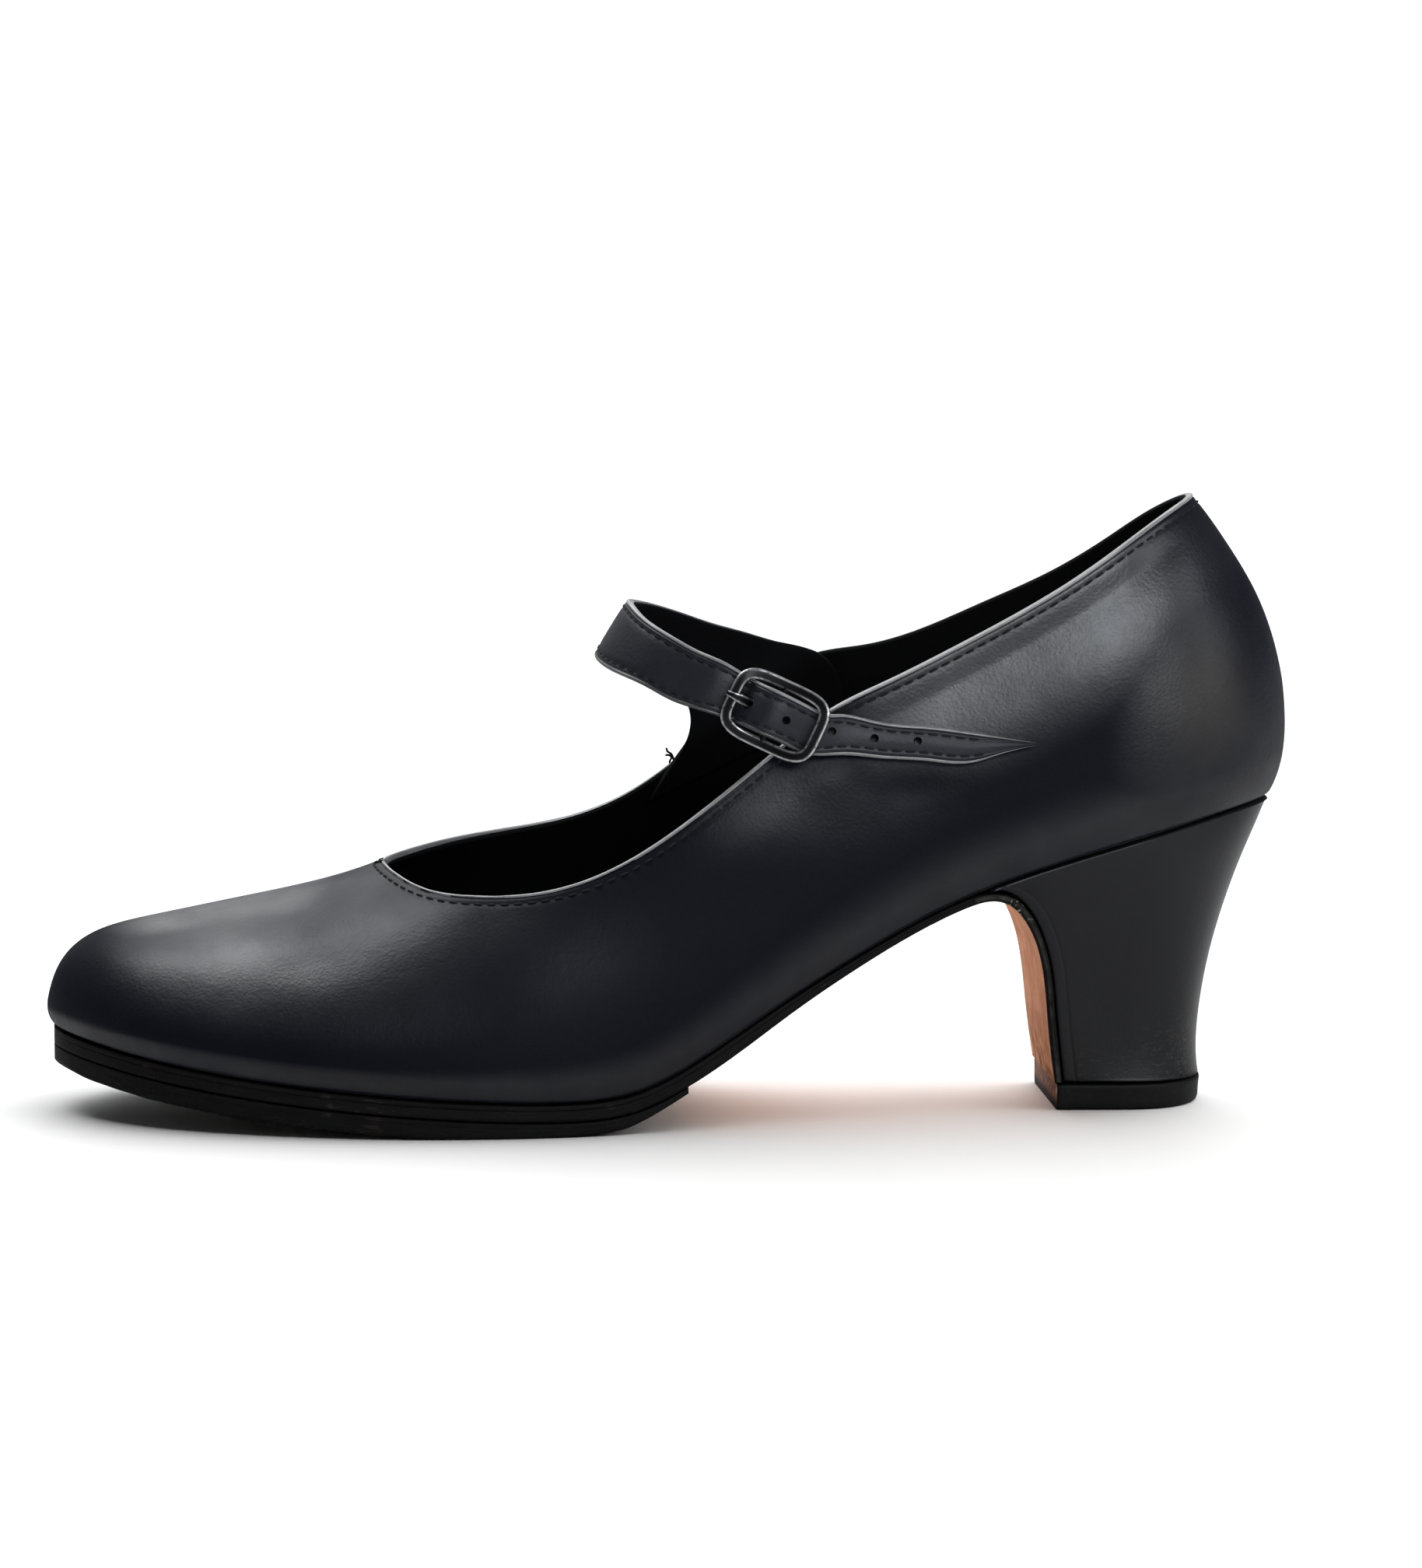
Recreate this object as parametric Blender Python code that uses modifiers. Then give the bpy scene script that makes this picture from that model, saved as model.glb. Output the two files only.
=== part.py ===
"""A left flamenco shoe: leather upper, instep strap with a buckle, leather sole and a 60 mm covered heel.

The tables are in millimetres and the meshes in metres. The toe points to -X, the outer (lateral) side of
the foot to -Y, and the floor is z = 0. The feather line is the lower edge of the upper, where it meets
the sole and the heel.
"""

import math
from collections import namedtuple

import bmesh
import bpy
import numpy as np
from mathutils import Matrix, Vector

MM = 0.001
GAP = 0.3
LATERAL, MEDIAL = -1, 1
# Puts the middle of the whole shoe's box over the origin
CENTRING = (-0.75, 1.26, 0.0)

# Driving sizes of the last and the upper
TOE_X, HEEL_X = -119.3, 118.8
THROAT_X = -55.0
WALL = 1.8
SECTION_RISE, ARCH_HEIGHT = 0.5, 30.0
HEEL_LEAN, LEAN_FROM, LEAN_OVER, LEAN_POWER = 16.5, 25.0, 34.5, 1.5
LEAN_STARTS_X = 30.0
VAMP_STATIONS, QUARTER_STATIONS, WALL_ROWS = 16, 34, 10

# Driving sizes of the bottom
FOREFOOT_SOLE = 6.9
HALF_SOLE_END_X, HALF_SOLE_SKIVE, HALF_SOLE_THIN = 2.0, 13.0, 0.8
SOLE_LEDGE, SOLE_EDGE_ROUND = 0.3, 0.7
SOLE_STATIONS, BREAST_STATIONS = 34, 15
SHANK_X = 50.0
TURN_FROM_X, TURN_TO_X = -10.0, 25.0
INSOLE, INSOLE_INSET = 1.6, 2.3
TOP_LIFT, TOP_LIFT_LIP, TOP_LIFT_ROUND = 5.0, 0.5, 0.4
HEEL_SIDE_POINTS, HEEL_LEVELS = 13, 17
HEEL_ROUND, HEEL_WIDEST = 2.3, 0.45

# Driving sizes of the strap and the buckle
STRAP = 1.6
BUCKLE_CENTRE = Vector((18.8, -29.3, 79.2))
BUCKLE_SLOPE, BUCKLE_YAW, BUCKLE_ROLL = math.radians(24), math.radians(15), math.radians(10)
FRAME_LENGTH, FRAME_WIDTH, FRAME_WIRE, FRAME_ARCH = 18.6, 13.6, 0.85, 1.8
FRAME_SQUARENESS, FRAME_POINTS = 4.4, 36
BAR_WIRE, PRONG_WIRE = 0.7, 0.55
CHAPE, CHAPE_WIDTH, CHAPE_SLOT, SLOT_LENGTH, CHAPE_STEPS = 0.7, 6.4, 2.2, 5.0, 26
HOLE_RADIUS, PRONG_HOLE_RADIUS, PUNCH_LENGTH = 0.8, 1.35, 12.0

Section = namedtuple("Section", "x lateral medial swell swell_height arch crown reach crown_y")
LAST = [
    Section(-119.3, -3.5, 3.5, 1.6, 5.0, 0.0, 6.0, 0.75, 3.5),
    Section(-112.0, 14.0, 20.5, 1.7, 7.0, 0.0, 18.6, 0.72, 3.5),
    Section(-100.0, 24.8, 29.8, 1.8, 8.0, 0.0, 24.2, 0.68, 3.5),
    Section(-85.0, 32.6, 35.7, 1.9, 9.0, 0.0, 29.2, 0.64, 3.5),
    Section(-70.0, 37.8, 38.8, 2.0, 10.0, 0.0, 33.9, 0.60, 3.5),
    Section(-55.0, 41.0, 39.6, 2.0, 11.0, 0.0, 39.8, 0.56, 3.6),
    Section(-40.0, 42.2, 38.2, 2.0, 12.0, 0.4, 47.5, 0.56, 3.7),
    Section(-20.0, 41.0, 33.6, 2.0, 13.0, 1.6, 60.5, 0.60, 3.3),
    Section(0.0, 36.6, 27.3, 2.0, 14.0, 3.0, 75.0, 0.65, 2.2),
    Section(20.0, 31.4, 23.2, 2.0, 14.0, 4.0, 87.0, 0.70, 1.0),
    Section(40.0, 28.0, 21.8, 2.0, 14.0, 3.6, 96.0, 0.72, 0.0),
    Section(60.0, 26.4, 22.8, 2.2, 14.0, 2.2, 101.0, 0.72, 0.0),
    Section(80.0, 25.6, 24.4, 2.6, 14.0, 0.8, 101.0, 0.72, 0.0),
    Section(95.0, 23.4, 23.0, 3.0, 14.0, 0.2, 101.0, 0.72, 0.0),
    Section(107.0, 17.8, 17.8, 3.2, 14.0, 0.0, 101.0, 0.72, 0.0),
    Section(114.5, 10.5, 10.5, 3.3, 14.0, 0.0, 101.0, 0.72, 0.0),
    Section(118.8, 0.0, 0.0, 3.3, 14.0, 0.0, 101.0, 0.72, 0.0),
]

Bottom = namedtuple("Bottom", "x feather outsole")
BOTTOM = [
    Bottom(-119.3, 16.4, 3.2),
    Bottom(-105.0, 13.9, 3.2),
    Bottom(-88.0, 11.3, 3.2),
    Bottom(-70.0, 9.3, 3.2),
    Bottom(-52.0, 7.8, 3.2),
    Bottom(-35.0, 6.8, 3.2),
    Bottom(-20.0, 6.5, 3.2),
    Bottom(-8.0, 7.9, 3.2),
    Bottom(5.0, 14.0, 3.0),
    Bottom(20.0, 23.3, 2.5),
    Bottom(35.0, 32.2, 2.1),
    Bottom(50.0, 40.2, 2.0),
    Bottom(62.0, 45.2, 1.8),
    Bottom(80.0, 51.0, 1.6),
    Bottom(97.0, 55.6, 1.6),
    Bottom(110.0, 58.6, 1.6),
    Bottom(118.8, 60.0, 1.6),
]

Topline = namedtuple("Topline", "x lateral medial")
TOPLINE = [
    Topline(-55.0, 47.9, 47.9),
    Topline(-48.0, 45.2, 49.3),
    Topline(-40.0, 44.4, 50.6),
    Topline(-30.0, 44.9, 51.8),
    Topline(-19.0, 47.2, 53.5),
    Topline(-7.0, 52.6, 57.4),
    Topline(5.0, 60.7, 65.0),
    Topline(17.0, 70.0, 75.5),
    Topline(29.0, 79.0, 83.6),
    Topline(41.0, 84.9, 87.4),
    Topline(53.0, 90.7, 91.0),
    Topline(65.0, 96.9, 96.0),
    Topline(78.0, 104.4, 102.6),
    Topline(90.0, 112.2, 110.4),
    Topline(98.0, 116.8, 116.2),
    Topline(103.0, 119.0, 119.0),
]

# The back of the outsole where it turns down the front of the heel, with its half widths and thickness
Breast = namedtuple("Breast", "x z lateral medial thickness")
BREAST = [
    Breast(56.0, 42.5, 26.8, 22.9, 1.9),
    Breast(61.0, 43.8, 26.4, 23.1, 1.8),
    Breast(65.5, 42.8, 24.6, 22.6, 1.7),
    Breast(69.2, 39.4, 22.3, 21.6, 1.6),
    Breast(71.9, 34.3, 20.5, 20.3, 1.5),
    Breast(73.7, 27.8, 19.2, 19.2, 1.5),
    Breast(74.7, 19.3, 18.3, 18.3, 1.5),
    Breast(75.7, 10.4, 17.7, 17.7, 1.5),
    Breast(76.3, 5.6, 17.4, 17.4, 1.4),
]
BREAST_TOP = 1

# The heel block in levels from its foot to its seat: its back, its place up the breast and its half width
Heel = namedtuple("Heel", "back_x back_z breast widest")
HEEL = [
    Heel(105.2, 5.3, 0.0, 18.0),
    Heel(104.8, 10.5, 0.11, 17.6),
    Heel(105.3, 18.0, 0.27, 17.8),
    Heel(106.8, 27.0, 0.44, 18.6),
    Heel(109.0, 35.5, 0.585, 19.8),
    Heel(111.6, 43.2, 0.715, 21.4),
    Heel(114.3, 49.8, 0.825, 23.2),
    Heel(116.7, 55.0, 0.92, 24.6),
    Heel(118.6, 59.6, 1.0, 25.4),
]

# Lines across the strap, from its sewn end inside the medial wall, over the instep, to the buckle
INSIDE, FREE, OUTSIDE = "inside", "free", "outside"
Band = namedtuple("Band", "front_x front_z rear_x rear_z y lay")
STRAP_ROOT = [
    Band(-1.0, 57.0, 36.0, 76.0, None, INSIDE),
    Band(2.5, 63.0, 34.5, 81.5, None, INSIDE),
    Band(5.6, 68.5, 30.0, 86.4, None, INSIDE),
    Band(7.1, 73.8, 23.0, 88.8, 19.6, FREE),
    Band(6.6, 78.6, 16.8, 90.6, 19.8, FREE),
    Band(4.0, 81.8, 11.2, 92.1, 19.0, FREE),
    Band(-0.2, 83.9, 6.0, 94.0, 17.4, FREE),
    Band(-4.6, 85.5, 1.4, 95.6, 14.8, FREE),
    Band(-8.4, 86.8, -2.4, 96.9, 11.0, FREE),
    Band(-11.2, 87.8, -4.8, 97.8, 6.6, FREE),
    Band(-12.7, 88.3, -6.1, 98.4, 1.8, FREE),
    Band(-13.1, 88.3, -6.5, 98.4, -3.0, FREE),
    Band(-12.6, 87.8, -6.0, 97.8, -7.8, FREE),
    Band(-11.0, 86.9, -4.7, 96.5, -12.6, FREE),
    Band(-8.3, 85.5, -2.3, 94.8, -16.8, FREE),
    Band(-4.7, 83.7, 1.2, 92.5, -20.2, FREE),
    Band(-0.2, 81.6, 5.3, 90.1, -23.0, FREE),
]
# Where the strap weaves through the buckle: place along it, height over its middle plane, half width
Weave = namedtuple("Weave", "along out half_width")
STRAP_WEAVE = [
    Weave(-12.0, -0.5, 4.7),
    Weave(-8.5, -1.0, 4.3),
    Weave(-4.6, 1.0, 4.2),
    Weave(0.0, 2.8, 4.2),
    Weave(4.6, 1.0, 4.2),
    Weave(8.5, -1.0, 4.1),
]
STRAP_TAIL = [
    Band(31.5, 71.3, 32.4, 79.0, None, OUTSIDE),
    Band(39.0, 70.6, 39.6, 77.4, None, OUTSIDE),
    Band(48.0, 70.0, 48.5, 76.5, None, OUTSIDE),
    Band(56.6, 69.5, 57.2, 75.3, None, OUTSIDE),
    Band(62.6, 71.2, 63.0, 74.3, None, OUTSIDE),
    Band(69.0, 72.7, 69.1, 73.3, None, OUTSIDE),
]
STRAP_STEPS, STRAP_CLEAR = 68, 0.3

# Holes of the strap: on the buckle's own plane, by place along it, and on the tail, by place in side view
BUCKLE_HOLES = [(-5.5, PRONG_HOLE_RADIUS), (3.0, HOLE_RADIUS)]
TAIL_HOLES = [(30.6, 75.4), (38.6, 74.1), (46.9, 73.5)]

# Lines in the buckle's own plane: along it and out from it
PRONG = [
    (0.9, -1.25), (0.0, -1.55), (-1.1, -1.2), (-2.4, -1.0), (-4.0, -0.95),
    (-5.2, 0.0), (-6.2, 1.6), (-7.3, 2.75), (-8.8, 3.0), (-10.0, 2.6),
]
CHAPE_RUN = [(1.6, -1.45), (3.4, -1.9), (5.6, -2.45), (7.6, -2.75)]
CHAPE_ON_WALL = [(28.6, 75.6), (31.2, 75.1)]
CHAPE_TURNS = 9


def smooth(knots, values):
    """A natural cubic spline through the values, as a function."""
    knots = np.asarray(knots, float)
    values = np.asarray(values, float)
    count = len(knots)
    step = np.diff(knots)
    slope = np.diff(values) / step
    matrix = np.eye(count)
    right = np.zeros(count)
    for i in range(1, count - 1):
        matrix[i, i - 1 : i + 2] = step[i - 1], 2 * (step[i - 1] + step[i]), step[i]
        right[i] = 6 * (slope[i] - slope[i - 1])
    bend = np.linalg.solve(matrix, right)

    def at(x):
        i = np.clip(np.searchsorted(knots, x) - 1, 0, count - 2)
        a = (knots[i + 1] - x) / step[i]
        b = (x - knots[i]) / step[i]
        curve = (a**3 - a) * bend[i] + (b**3 - b) * bend[i + 1]
        return a * values[i] + b * values[i + 1] + curve * step[i] ** 2 / 6

    return at


def smooth_path(points):
    """A smooth line through points of any dimension, as a function of 0 to 1 along it, and its knots."""
    points = np.asarray(points, float)
    chord = np.concatenate([[0], np.cumsum(np.linalg.norm(np.diff(points, axis=0), axis=1))])
    knots = chord / chord[-1]
    parts = [smooth(knots, values) for values in points.T]
    return (lambda s: np.array([part(s) for part in parts])), knots


def smooth_step(value, low, high):
    share = min(1.0, max(0.0, (value - low) / (high - low)))
    return share * share * (3 - 2 * share)


def cosine_spaced(low, high, count):
    """Stations from low to high, closer together at both ends."""
    return [low + (high - low) * (1 - math.cos(math.pi * i / (count - 1))) / 2 for i in range(count)]


def turn(x):
    """The angle of a station along the length, so that widths round off at the toe and the heel."""
    share = np.clip((np.asarray(x, float) - TOE_X) / (HEEL_X - TOE_X), 0, 1)
    return np.arccos(1 - 2 * share)


def last_column(name):
    curve = smooth([turn(row.x) for row in LAST], [getattr(row, name) for row in LAST])
    return lambda x: float(curve(turn(x)))


def column(table, name):
    curve = smooth([row.x for row in table], [getattr(row, name) for row in table])
    return lambda x: float(curve(x))


half_width = {LATERAL: last_column("lateral"), MEDIAL: last_column("medial")}
swell = last_column("swell")
swell_height = last_column("swell_height")
arch = last_column("arch")
crown = last_column("crown")
reach = last_column("reach")
crown_y = last_column("crown_y")
feather = column(BOTTOM, "feather")
outsole_thickness = column(BOTTOM, "outsole")
topline = {LATERAL: column(TOPLINE, "lateral"), MEDIAL: column(TOPLINE, "medial")}


def outline_normal(x, side):
    """The outward direction of the feather line in plan."""
    if x <= TOE_X:
        return -1.0, 0.0
    if x >= HEEL_X:
        return 1.0, 0.0
    angle, step = float(turn(x)), 1e-4
    ahead, behind = (
        (TOE_X + (HEEL_X - TOE_X) * (1 - math.cos(a)) / 2 for a in (angle + step, angle - step))
    )
    run = ahead - behind
    rise = half_width[side](ahead) - half_width[side](behind)
    length = math.hypot(run, rise)
    return -rise / length, side * run / length


def last_point(x, side, t):
    """A point of the last's skin: t runs from the feather line, 0, over the instep to its crown, 1."""
    foot_y, top_y, height = side * half_width[side](x), crown_y(x), crown(x)
    shoulder_y = top_y + reach(x) * (foot_y - top_y)
    u = 1 - t
    y = (u**3 + 3 * u * u * t) * foot_y + 3 * u * t * t * shoulder_y + t**3 * top_y
    up = 3 * u * u * t * SECTION_RISE * height + (3 * u * t * t + t**3) * height
    level = up / swell_height(x)
    bulge = swell(x) * level * math.exp(1 - level) * (1 - t * t)
    if side == MEDIAL:
        level = up / ARCH_HEIGHT
        bulge += arch(x) * level * math.exp(1 - level) * (1 - t * t)
    lean = HEEL_LEAN * (max(0.0, up - LEAN_FROM) / LEAN_OVER) ** LEAN_POWER
    out_x, out_y = outline_normal(x, side)
    lean *= smooth_step(x, LEAN_STARTS_X, HEEL_X)
    return x + bulge * out_x - lean, y + bulge * out_y, feather(x) + up


def topline_share(x, side):
    """How far up the last's section the upper reaches at this station."""
    if x <= THROAT_X:
        return 1.0
    low, high = 0.0, 1.0
    for _ in range(40):
        middle = (low + high) / 2
        at_x, _, at_z = last_point(x, side, middle)
        if at_z < topline[side](at_x):
            low = middle
        else:
            high = middle
    return high


def wall_y(x, z, side, inward=0.0):
    """Where the last's skin is at a place seen from the side, moved inward by a distance."""
    low, high = 0.0, 1.0
    for _ in range(40):
        middle = (low + high) / 2
        if last_point(x, side, middle)[2] < z:
            low = middle
        else:
            high = middle
    return last_point(x, side, low)[1] - side * inward


def material(name, colour, roughness, metallic=0.0):
    made = bpy.data.materials.new(name)
    made.use_nodes = True
    shader = made.node_tree.nodes["Principled BSDF"]
    shader.inputs["Base Color"].default_value = (*colour, 1)
    shader.inputs["Roughness"].default_value = roughness
    shader.inputs["Metallic"].default_value = metallic
    return made


def add_object(name, data, finish, parts, root):
    made = bpy.data.objects.new(name, data)
    parts.objects.link(made)
    made.parent = root
    if finish:
        data.materials.append(finish)
    return made


def mesh_of(name, points, faces, outward=True):
    """A mesh in metres from points in millimetres."""
    mesh = bpy.data.meshes.new(name)
    mesh.from_pydata([[v * MM for v in point] for point in points], [], faces)
    if outward:
        work = bmesh.new()
        work.from_mesh(mesh)
        bmesh.ops.recalc_face_normals(work, faces=work.faces)
        work.to_mesh(mesh)
        work.free()
    mesh.shade_smooth()
    mesh.set_sharp_from_angle(angle=math.radians(40))
    return mesh


def loft(rings):
    """Points and faces of a solid through rings of equal length, with an end face on the first and last."""
    size = len(rings[0])
    points = [point for ring in rings for point in ring]
    faces = []
    for i in range(len(rings) - 1):
        for j in range(size):
            k = (j + 1) % size
            faces.append((i * size + j, i * size + k, (i + 1) * size + k, (i + 1) * size + j))
    faces.append(tuple(range(size)))
    faces.append(tuple((len(rings) - 1) * size + j for j in range(size)))
    return points, faces


def upper_mesh():
    """The outer skin of the upper: a grid of stations along the foot and rows up each side."""
    stations = cosine_spaced(TOE_X, THROAT_X, VAMP_STATIONS)
    stations += cosine_spaced(THROAT_X, HEEL_X, QUARTER_STATIONS)[1:]
    points, index = [], {}
    for i, x in enumerate(stations):
        for side in (LATERAL, MEDIAL):
            top = topline_share(x, side)
            for j in range(WALL_ROWS + 1):
                joined = i in (0, len(stations) - 1) or (top == 1.0 and j == WALL_ROWS)
                if joined and side == MEDIAL:
                    index[i, side, j] = index[i, LATERAL, j]
                    continue
                index[i, side, j] = len(points)
                points.append(last_point(x, side, top * j / WALL_ROWS))
    faces = []
    for i in range(len(stations) - 1):
        for j in range(WALL_ROWS):
            for side in (LATERAL, MEDIAL):
                corners = [(i, j), (i + 1, j), (i + 1, j + 1), (i, j + 1)]
                face = [index[a, side, b] for a, b in corners][::-side]
                faces.append(face)
    return mesh_of("upper", points, faces, outward=False)


def sole_ring(x, z_top, thickness, ledge, angle=0.0, widths=None):
    """A section across a flat sole piece: square on top, with its lower edges rounded off."""
    sides = widths or [half_width[LATERAL](x) + ledge, half_width[MEDIAL](x) + ledge]
    lateral, medial = -sides[0], sides[1]
    across = min(SOLE_EDGE_ROUND, thickness / 3, (medial - lateral) / 4)
    down_x, down_z = math.sin(angle), -math.cos(angle)
    outline = [
        (lateral, 0),
        (lateral, thickness - across),
        (lateral + across, thickness),
        (medial - across, thickness),
        (medial, thickness - across),
        (medial, 0),
    ]
    return [(x + down_x * depth, y, z_top + down_z * depth) for y, depth in outline]


def sole_stations(last_x, count):
    """Stations of a sole piece, closer together at the toe, where its end is a narrow flat."""
    span = last_x - TOE_X
    return [TOE_X + span * (1 - math.cos(math.pi / 2 * (i + 0.6) / (count - 0.4))) for i in range(count)]


def under_upper(x):
    """A row of the outsole where the upper stands on it: x, z, half widths and thickness."""
    sides = [half_width[side](x) + SOLE_LEDGE for side in (LATERAL, MEDIAL)]
    return (x, feather(x) - GAP, *sides, outsole_thickness(x))


def breast_row(share):
    """A row of the outsole from the shank's end, 0, down the breast to the heel's foot, 1, and its slope."""
    path, knots = smooth_path([under_upper(SHANK_X - 8), under_upper(SHANK_X), *BREAST])
    s, step = knots[1] + (1 - knots[1]) * share, 1e-4
    run = path(min(1.0, s + step)) - path(s - step)
    return (*path(s), math.atan2(run[1], run[0])), (knots[BREAST_TOP + 2] - knots[1]) / (1 - knots[1])


def outsole_path():
    """Rows of x, z, half widths, thickness and slope along the outsole, from the toe to the heel's foot."""
    rows = []
    for x in sole_stations(SHANK_X, SOLE_STATIONS):
        slope = math.atan(feather(x + 0.5) - feather(x - 0.5))
        rows.append((*under_upper(x), slope * smooth_step(x, TURN_FROM_X, TURN_TO_X)))
    rows += [breast_row(i / BREAST_STATIONS)[0] for i in range(1, BREAST_STATIONS + 1)]
    return rows


def outsole_mesh():
    rings = []
    for x, z, lateral, medial, thickness, slope in outsole_path():
        rings.append(sole_ring(x, z, thickness, 0, slope, (lateral, medial)))
    return mesh_of("outsole", *loft(rings))


def half_sole_mesh():
    """The rubber half sole under the ball: flat on the floor there, with its rear end skived thin."""
    rings = []
    for x in sole_stations(HALF_SOLE_END_X, SOLE_STATIONS):
        top = feather(x) - outsole_thickness(x) - 2 * GAP
        full = max(0.0, feather(x) - FOREFOOT_SOLE)
        share = smooth_step(x, HALF_SOLE_END_X - HALF_SOLE_SKIVE, HALF_SOLE_END_X)
        base = full + share * (top - HALF_SOLE_THIN - full)
        rings.append(sole_ring(x, top, top - base, SOLE_LEDGE))
    return mesh_of("half_sole", *loft(rings))


def insole_mesh():
    rings = []
    for x in cosine_spaced(TOE_X + INSOLE_INSET, HEEL_X - INSOLE_INSET, SOLE_STATIONS)[1:-1]:
        widths = []
        for side in (LATERAL, MEDIAL):
            out_x, out_y = outline_normal(x, side)
            widths.append(half_width[side](x) - INSOLE_INSET / max(0.35, abs(out_y)))
        if widths[0] + widths[1] > 4:
            rings.append(sole_ring(x, feather(x) + INSOLE, INSOLE, 0, widths=widths))
    return mesh_of("insole", *loft(rings))


def heel_level(level):
    """The heel's table row at a level from 0 (foot) to 1 (seat), and its front edge on the breast."""
    levels = [i / (len(HEEL) - 1) for i in range(len(HEEL))]
    row = Heel(*(float(smooth(levels, values)(level)) for values in zip(*HEEL)))
    x, z, lateral, medial, _, slope = breast_row(1 - row.breast * (1 - breast_row(0)[1]))[0]
    return row, x - math.sin(slope) * GAP, z + math.cos(slope) * GAP, {LATERAL: lateral, MEDIAL: medial}


def heel_place(level, x, side):
    """Half width and height on a D-shaped, tilted section of the heel."""
    row, front_x, front_z, front_width = heel_level(level)
    along = (x - front_x) / (row.back_x - front_x)
    y = front_width[side] + (row.widest - front_width[side]) * smooth_step(along, 0, HEEL_WIDEST)
    round_off = min(1.0, max(0.0, (along - HEEL_WIDEST) / (1 - HEEL_WIDEST)))
    return y * (1 - round_off**HEEL_ROUND) ** (1 / HEEL_ROUND), front_z + (row.back_z - front_z) * along


def heel_ring(level, grow=0.0):
    """A section of the heel block, straight across the front, turning into the seat's shape at the top."""
    row, front_x, _, _ = heel_level(level)
    ring = {LATERAL: [], MEDIAL: []}
    for i in range(HEEL_SIDE_POINTS):
        along = math.sin(math.pi / 2 * i / (HEEL_SIDE_POINTS - 1))
        x = front_x + (row.back_x - front_x) * along
        for side in (LATERAL, MEDIAL):
            y, z = heel_place(level, x, side)
            top_y, top_z = heel_place(1.0, x, side)
            y += level**4 * (half_width[side](x) + SOLE_LEDGE - top_y) + grow
            z += level**4 * (feather(x) - GAP - top_z)
            last = i == HEEL_SIDE_POINTS - 1
            ring[side].append((x + grow * (2 * along - 1), 0.0 if last else side * y, z))
    return ring[LATERAL] + ring[MEDIAL][-2::-1]


def heel_mesh():
    rings = [heel_ring(i / (HEEL_LEVELS - 1)) for i in range(HEEL_LEVELS)]
    points, faces = loft(rings)
    return mesh_of("heel", points, cross_faces(faces[:-2], len(rings[0]), len(rings)))


def cross_faces(faces, size, rings):
    """Adds end faces made of strips across the ring, which follow a curved seat."""
    for first in (0, (rings - 1) * size):
        for j in range(size // 2):
            strip = [first + j, first + j + 1, first + size - 2 - j, first + size - 1 - j]
            faces.append([k for n, k in enumerate(strip) if k not in strip[:n]])
    return faces


def flat_outline(name, outline, low, high, rounding):
    """A flat piece from its outline, with its edges rounded."""
    curve = bpy.data.curves.new(name, "CURVE")
    curve.dimensions = "2D"
    curve.fill_mode = "BOTH"
    curve.extrude = ((high - low) / 2 - rounding) * MM
    curve.bevel_depth = rounding * MM
    curve.bevel_resolution = 1
    spline = curve.splines.new("POLY")
    spline.points.add(len(outline) - 1)
    for point, (x, y) in zip(spline.points, outline):
        point.co = (x * MM, y * MM, 0, 1)
    spline.use_cyclic_u = True
    return curve


def buckle_axes():
    """The buckle's own frame: along the strap, across it and out from the foot."""
    turned = Matrix.Rotation(-BUCKLE_YAW, 3, "Z") @ Matrix.Rotation(BUCKLE_SLOPE, 3, "Y")
    along, across = turned @ Vector((1, 0, 0)), turned @ Vector((0, 0, 1))
    across = Matrix.Rotation(-BUCKLE_ROLL, 3, along) @ across
    return along, across, along.cross(across)


def buckle_point(along, across, out):
    axes = buckle_axes()
    return BUCKLE_CENTRE + axes[0] * along + axes[1] * across + axes[2] * out


def wall_row(places, side, offset):
    """Points laid on the last's skin at places in side view, standing off it by an offset."""
    return [(x, wall_y(x, z, side, -offset), z) for x, z in places]


def strap_rows():
    """Front and rear edge points of the strap, one pair for each row of its tables."""
    rows = []
    for row in STRAP_ROOT:
        places = [(row.front_x, row.front_z), (row.rear_x, row.rear_z)]
        ends = [(x, row.y, z) for x, z in places]
        if row.lay == INSIDE:
            ends = wall_row(places, MEDIAL, -(WALL + GAP + STRAP / 2 + STRAP_CLEAR))
        rows.append((*ends[0], *ends[1]))
    for row in STRAP_WEAVE:
        ends = [buckle_point(row.along, side * row.half_width, row.out) for side in (-1, 1)]
        rows.append((*ends[0], *ends[1]))
    for i, row in enumerate(STRAP_TAIL):
        stand = STRAP / 2 + GAP + STRAP_CLEAR + (CHAPE if i == 0 else 0)
        ends = wall_row([(row.front_x, row.front_z), (row.rear_x, row.rear_z)], LATERAL, stand)
        rows.append((*ends[0], *ends[1]))
    return rows


def band_mesh(name, rows, steps, across):
    """A band through rows of front and rear edge points, with some points across it."""
    path, _ = smooth_path(rows)
    points, faces = [], []
    for i in range(steps + 1):
        row = path(i / steps)
        for j in range(across + 1):
            points.append(row[:3] + (row[3:] - row[:3]) * j / across)
    for i in range(steps):
        for j in range(across):
            corner = i * (across + 1) + j
            faces.append((corner, corner + 1, corner + across + 2, corner + across + 1))
    return mesh_of(name, points, faces)


def wire(name, points, radius, cyclic=False):
    """A round wire along points, as a curve."""
    curve = bpy.data.curves.new(name, "CURVE")
    curve.dimensions = "3D"
    curve.bevel_depth = radius * MM
    curve.bevel_resolution = 2
    curve.use_fill_caps = True
    spline = curve.splines.new("POLY")
    spline.points.add(len(points) - 1)
    for point, place in zip(spline.points, points):
        point.co = (*(v * MM for v in place), 1)
    spline.use_cyclic_u = cyclic
    return curve


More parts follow.
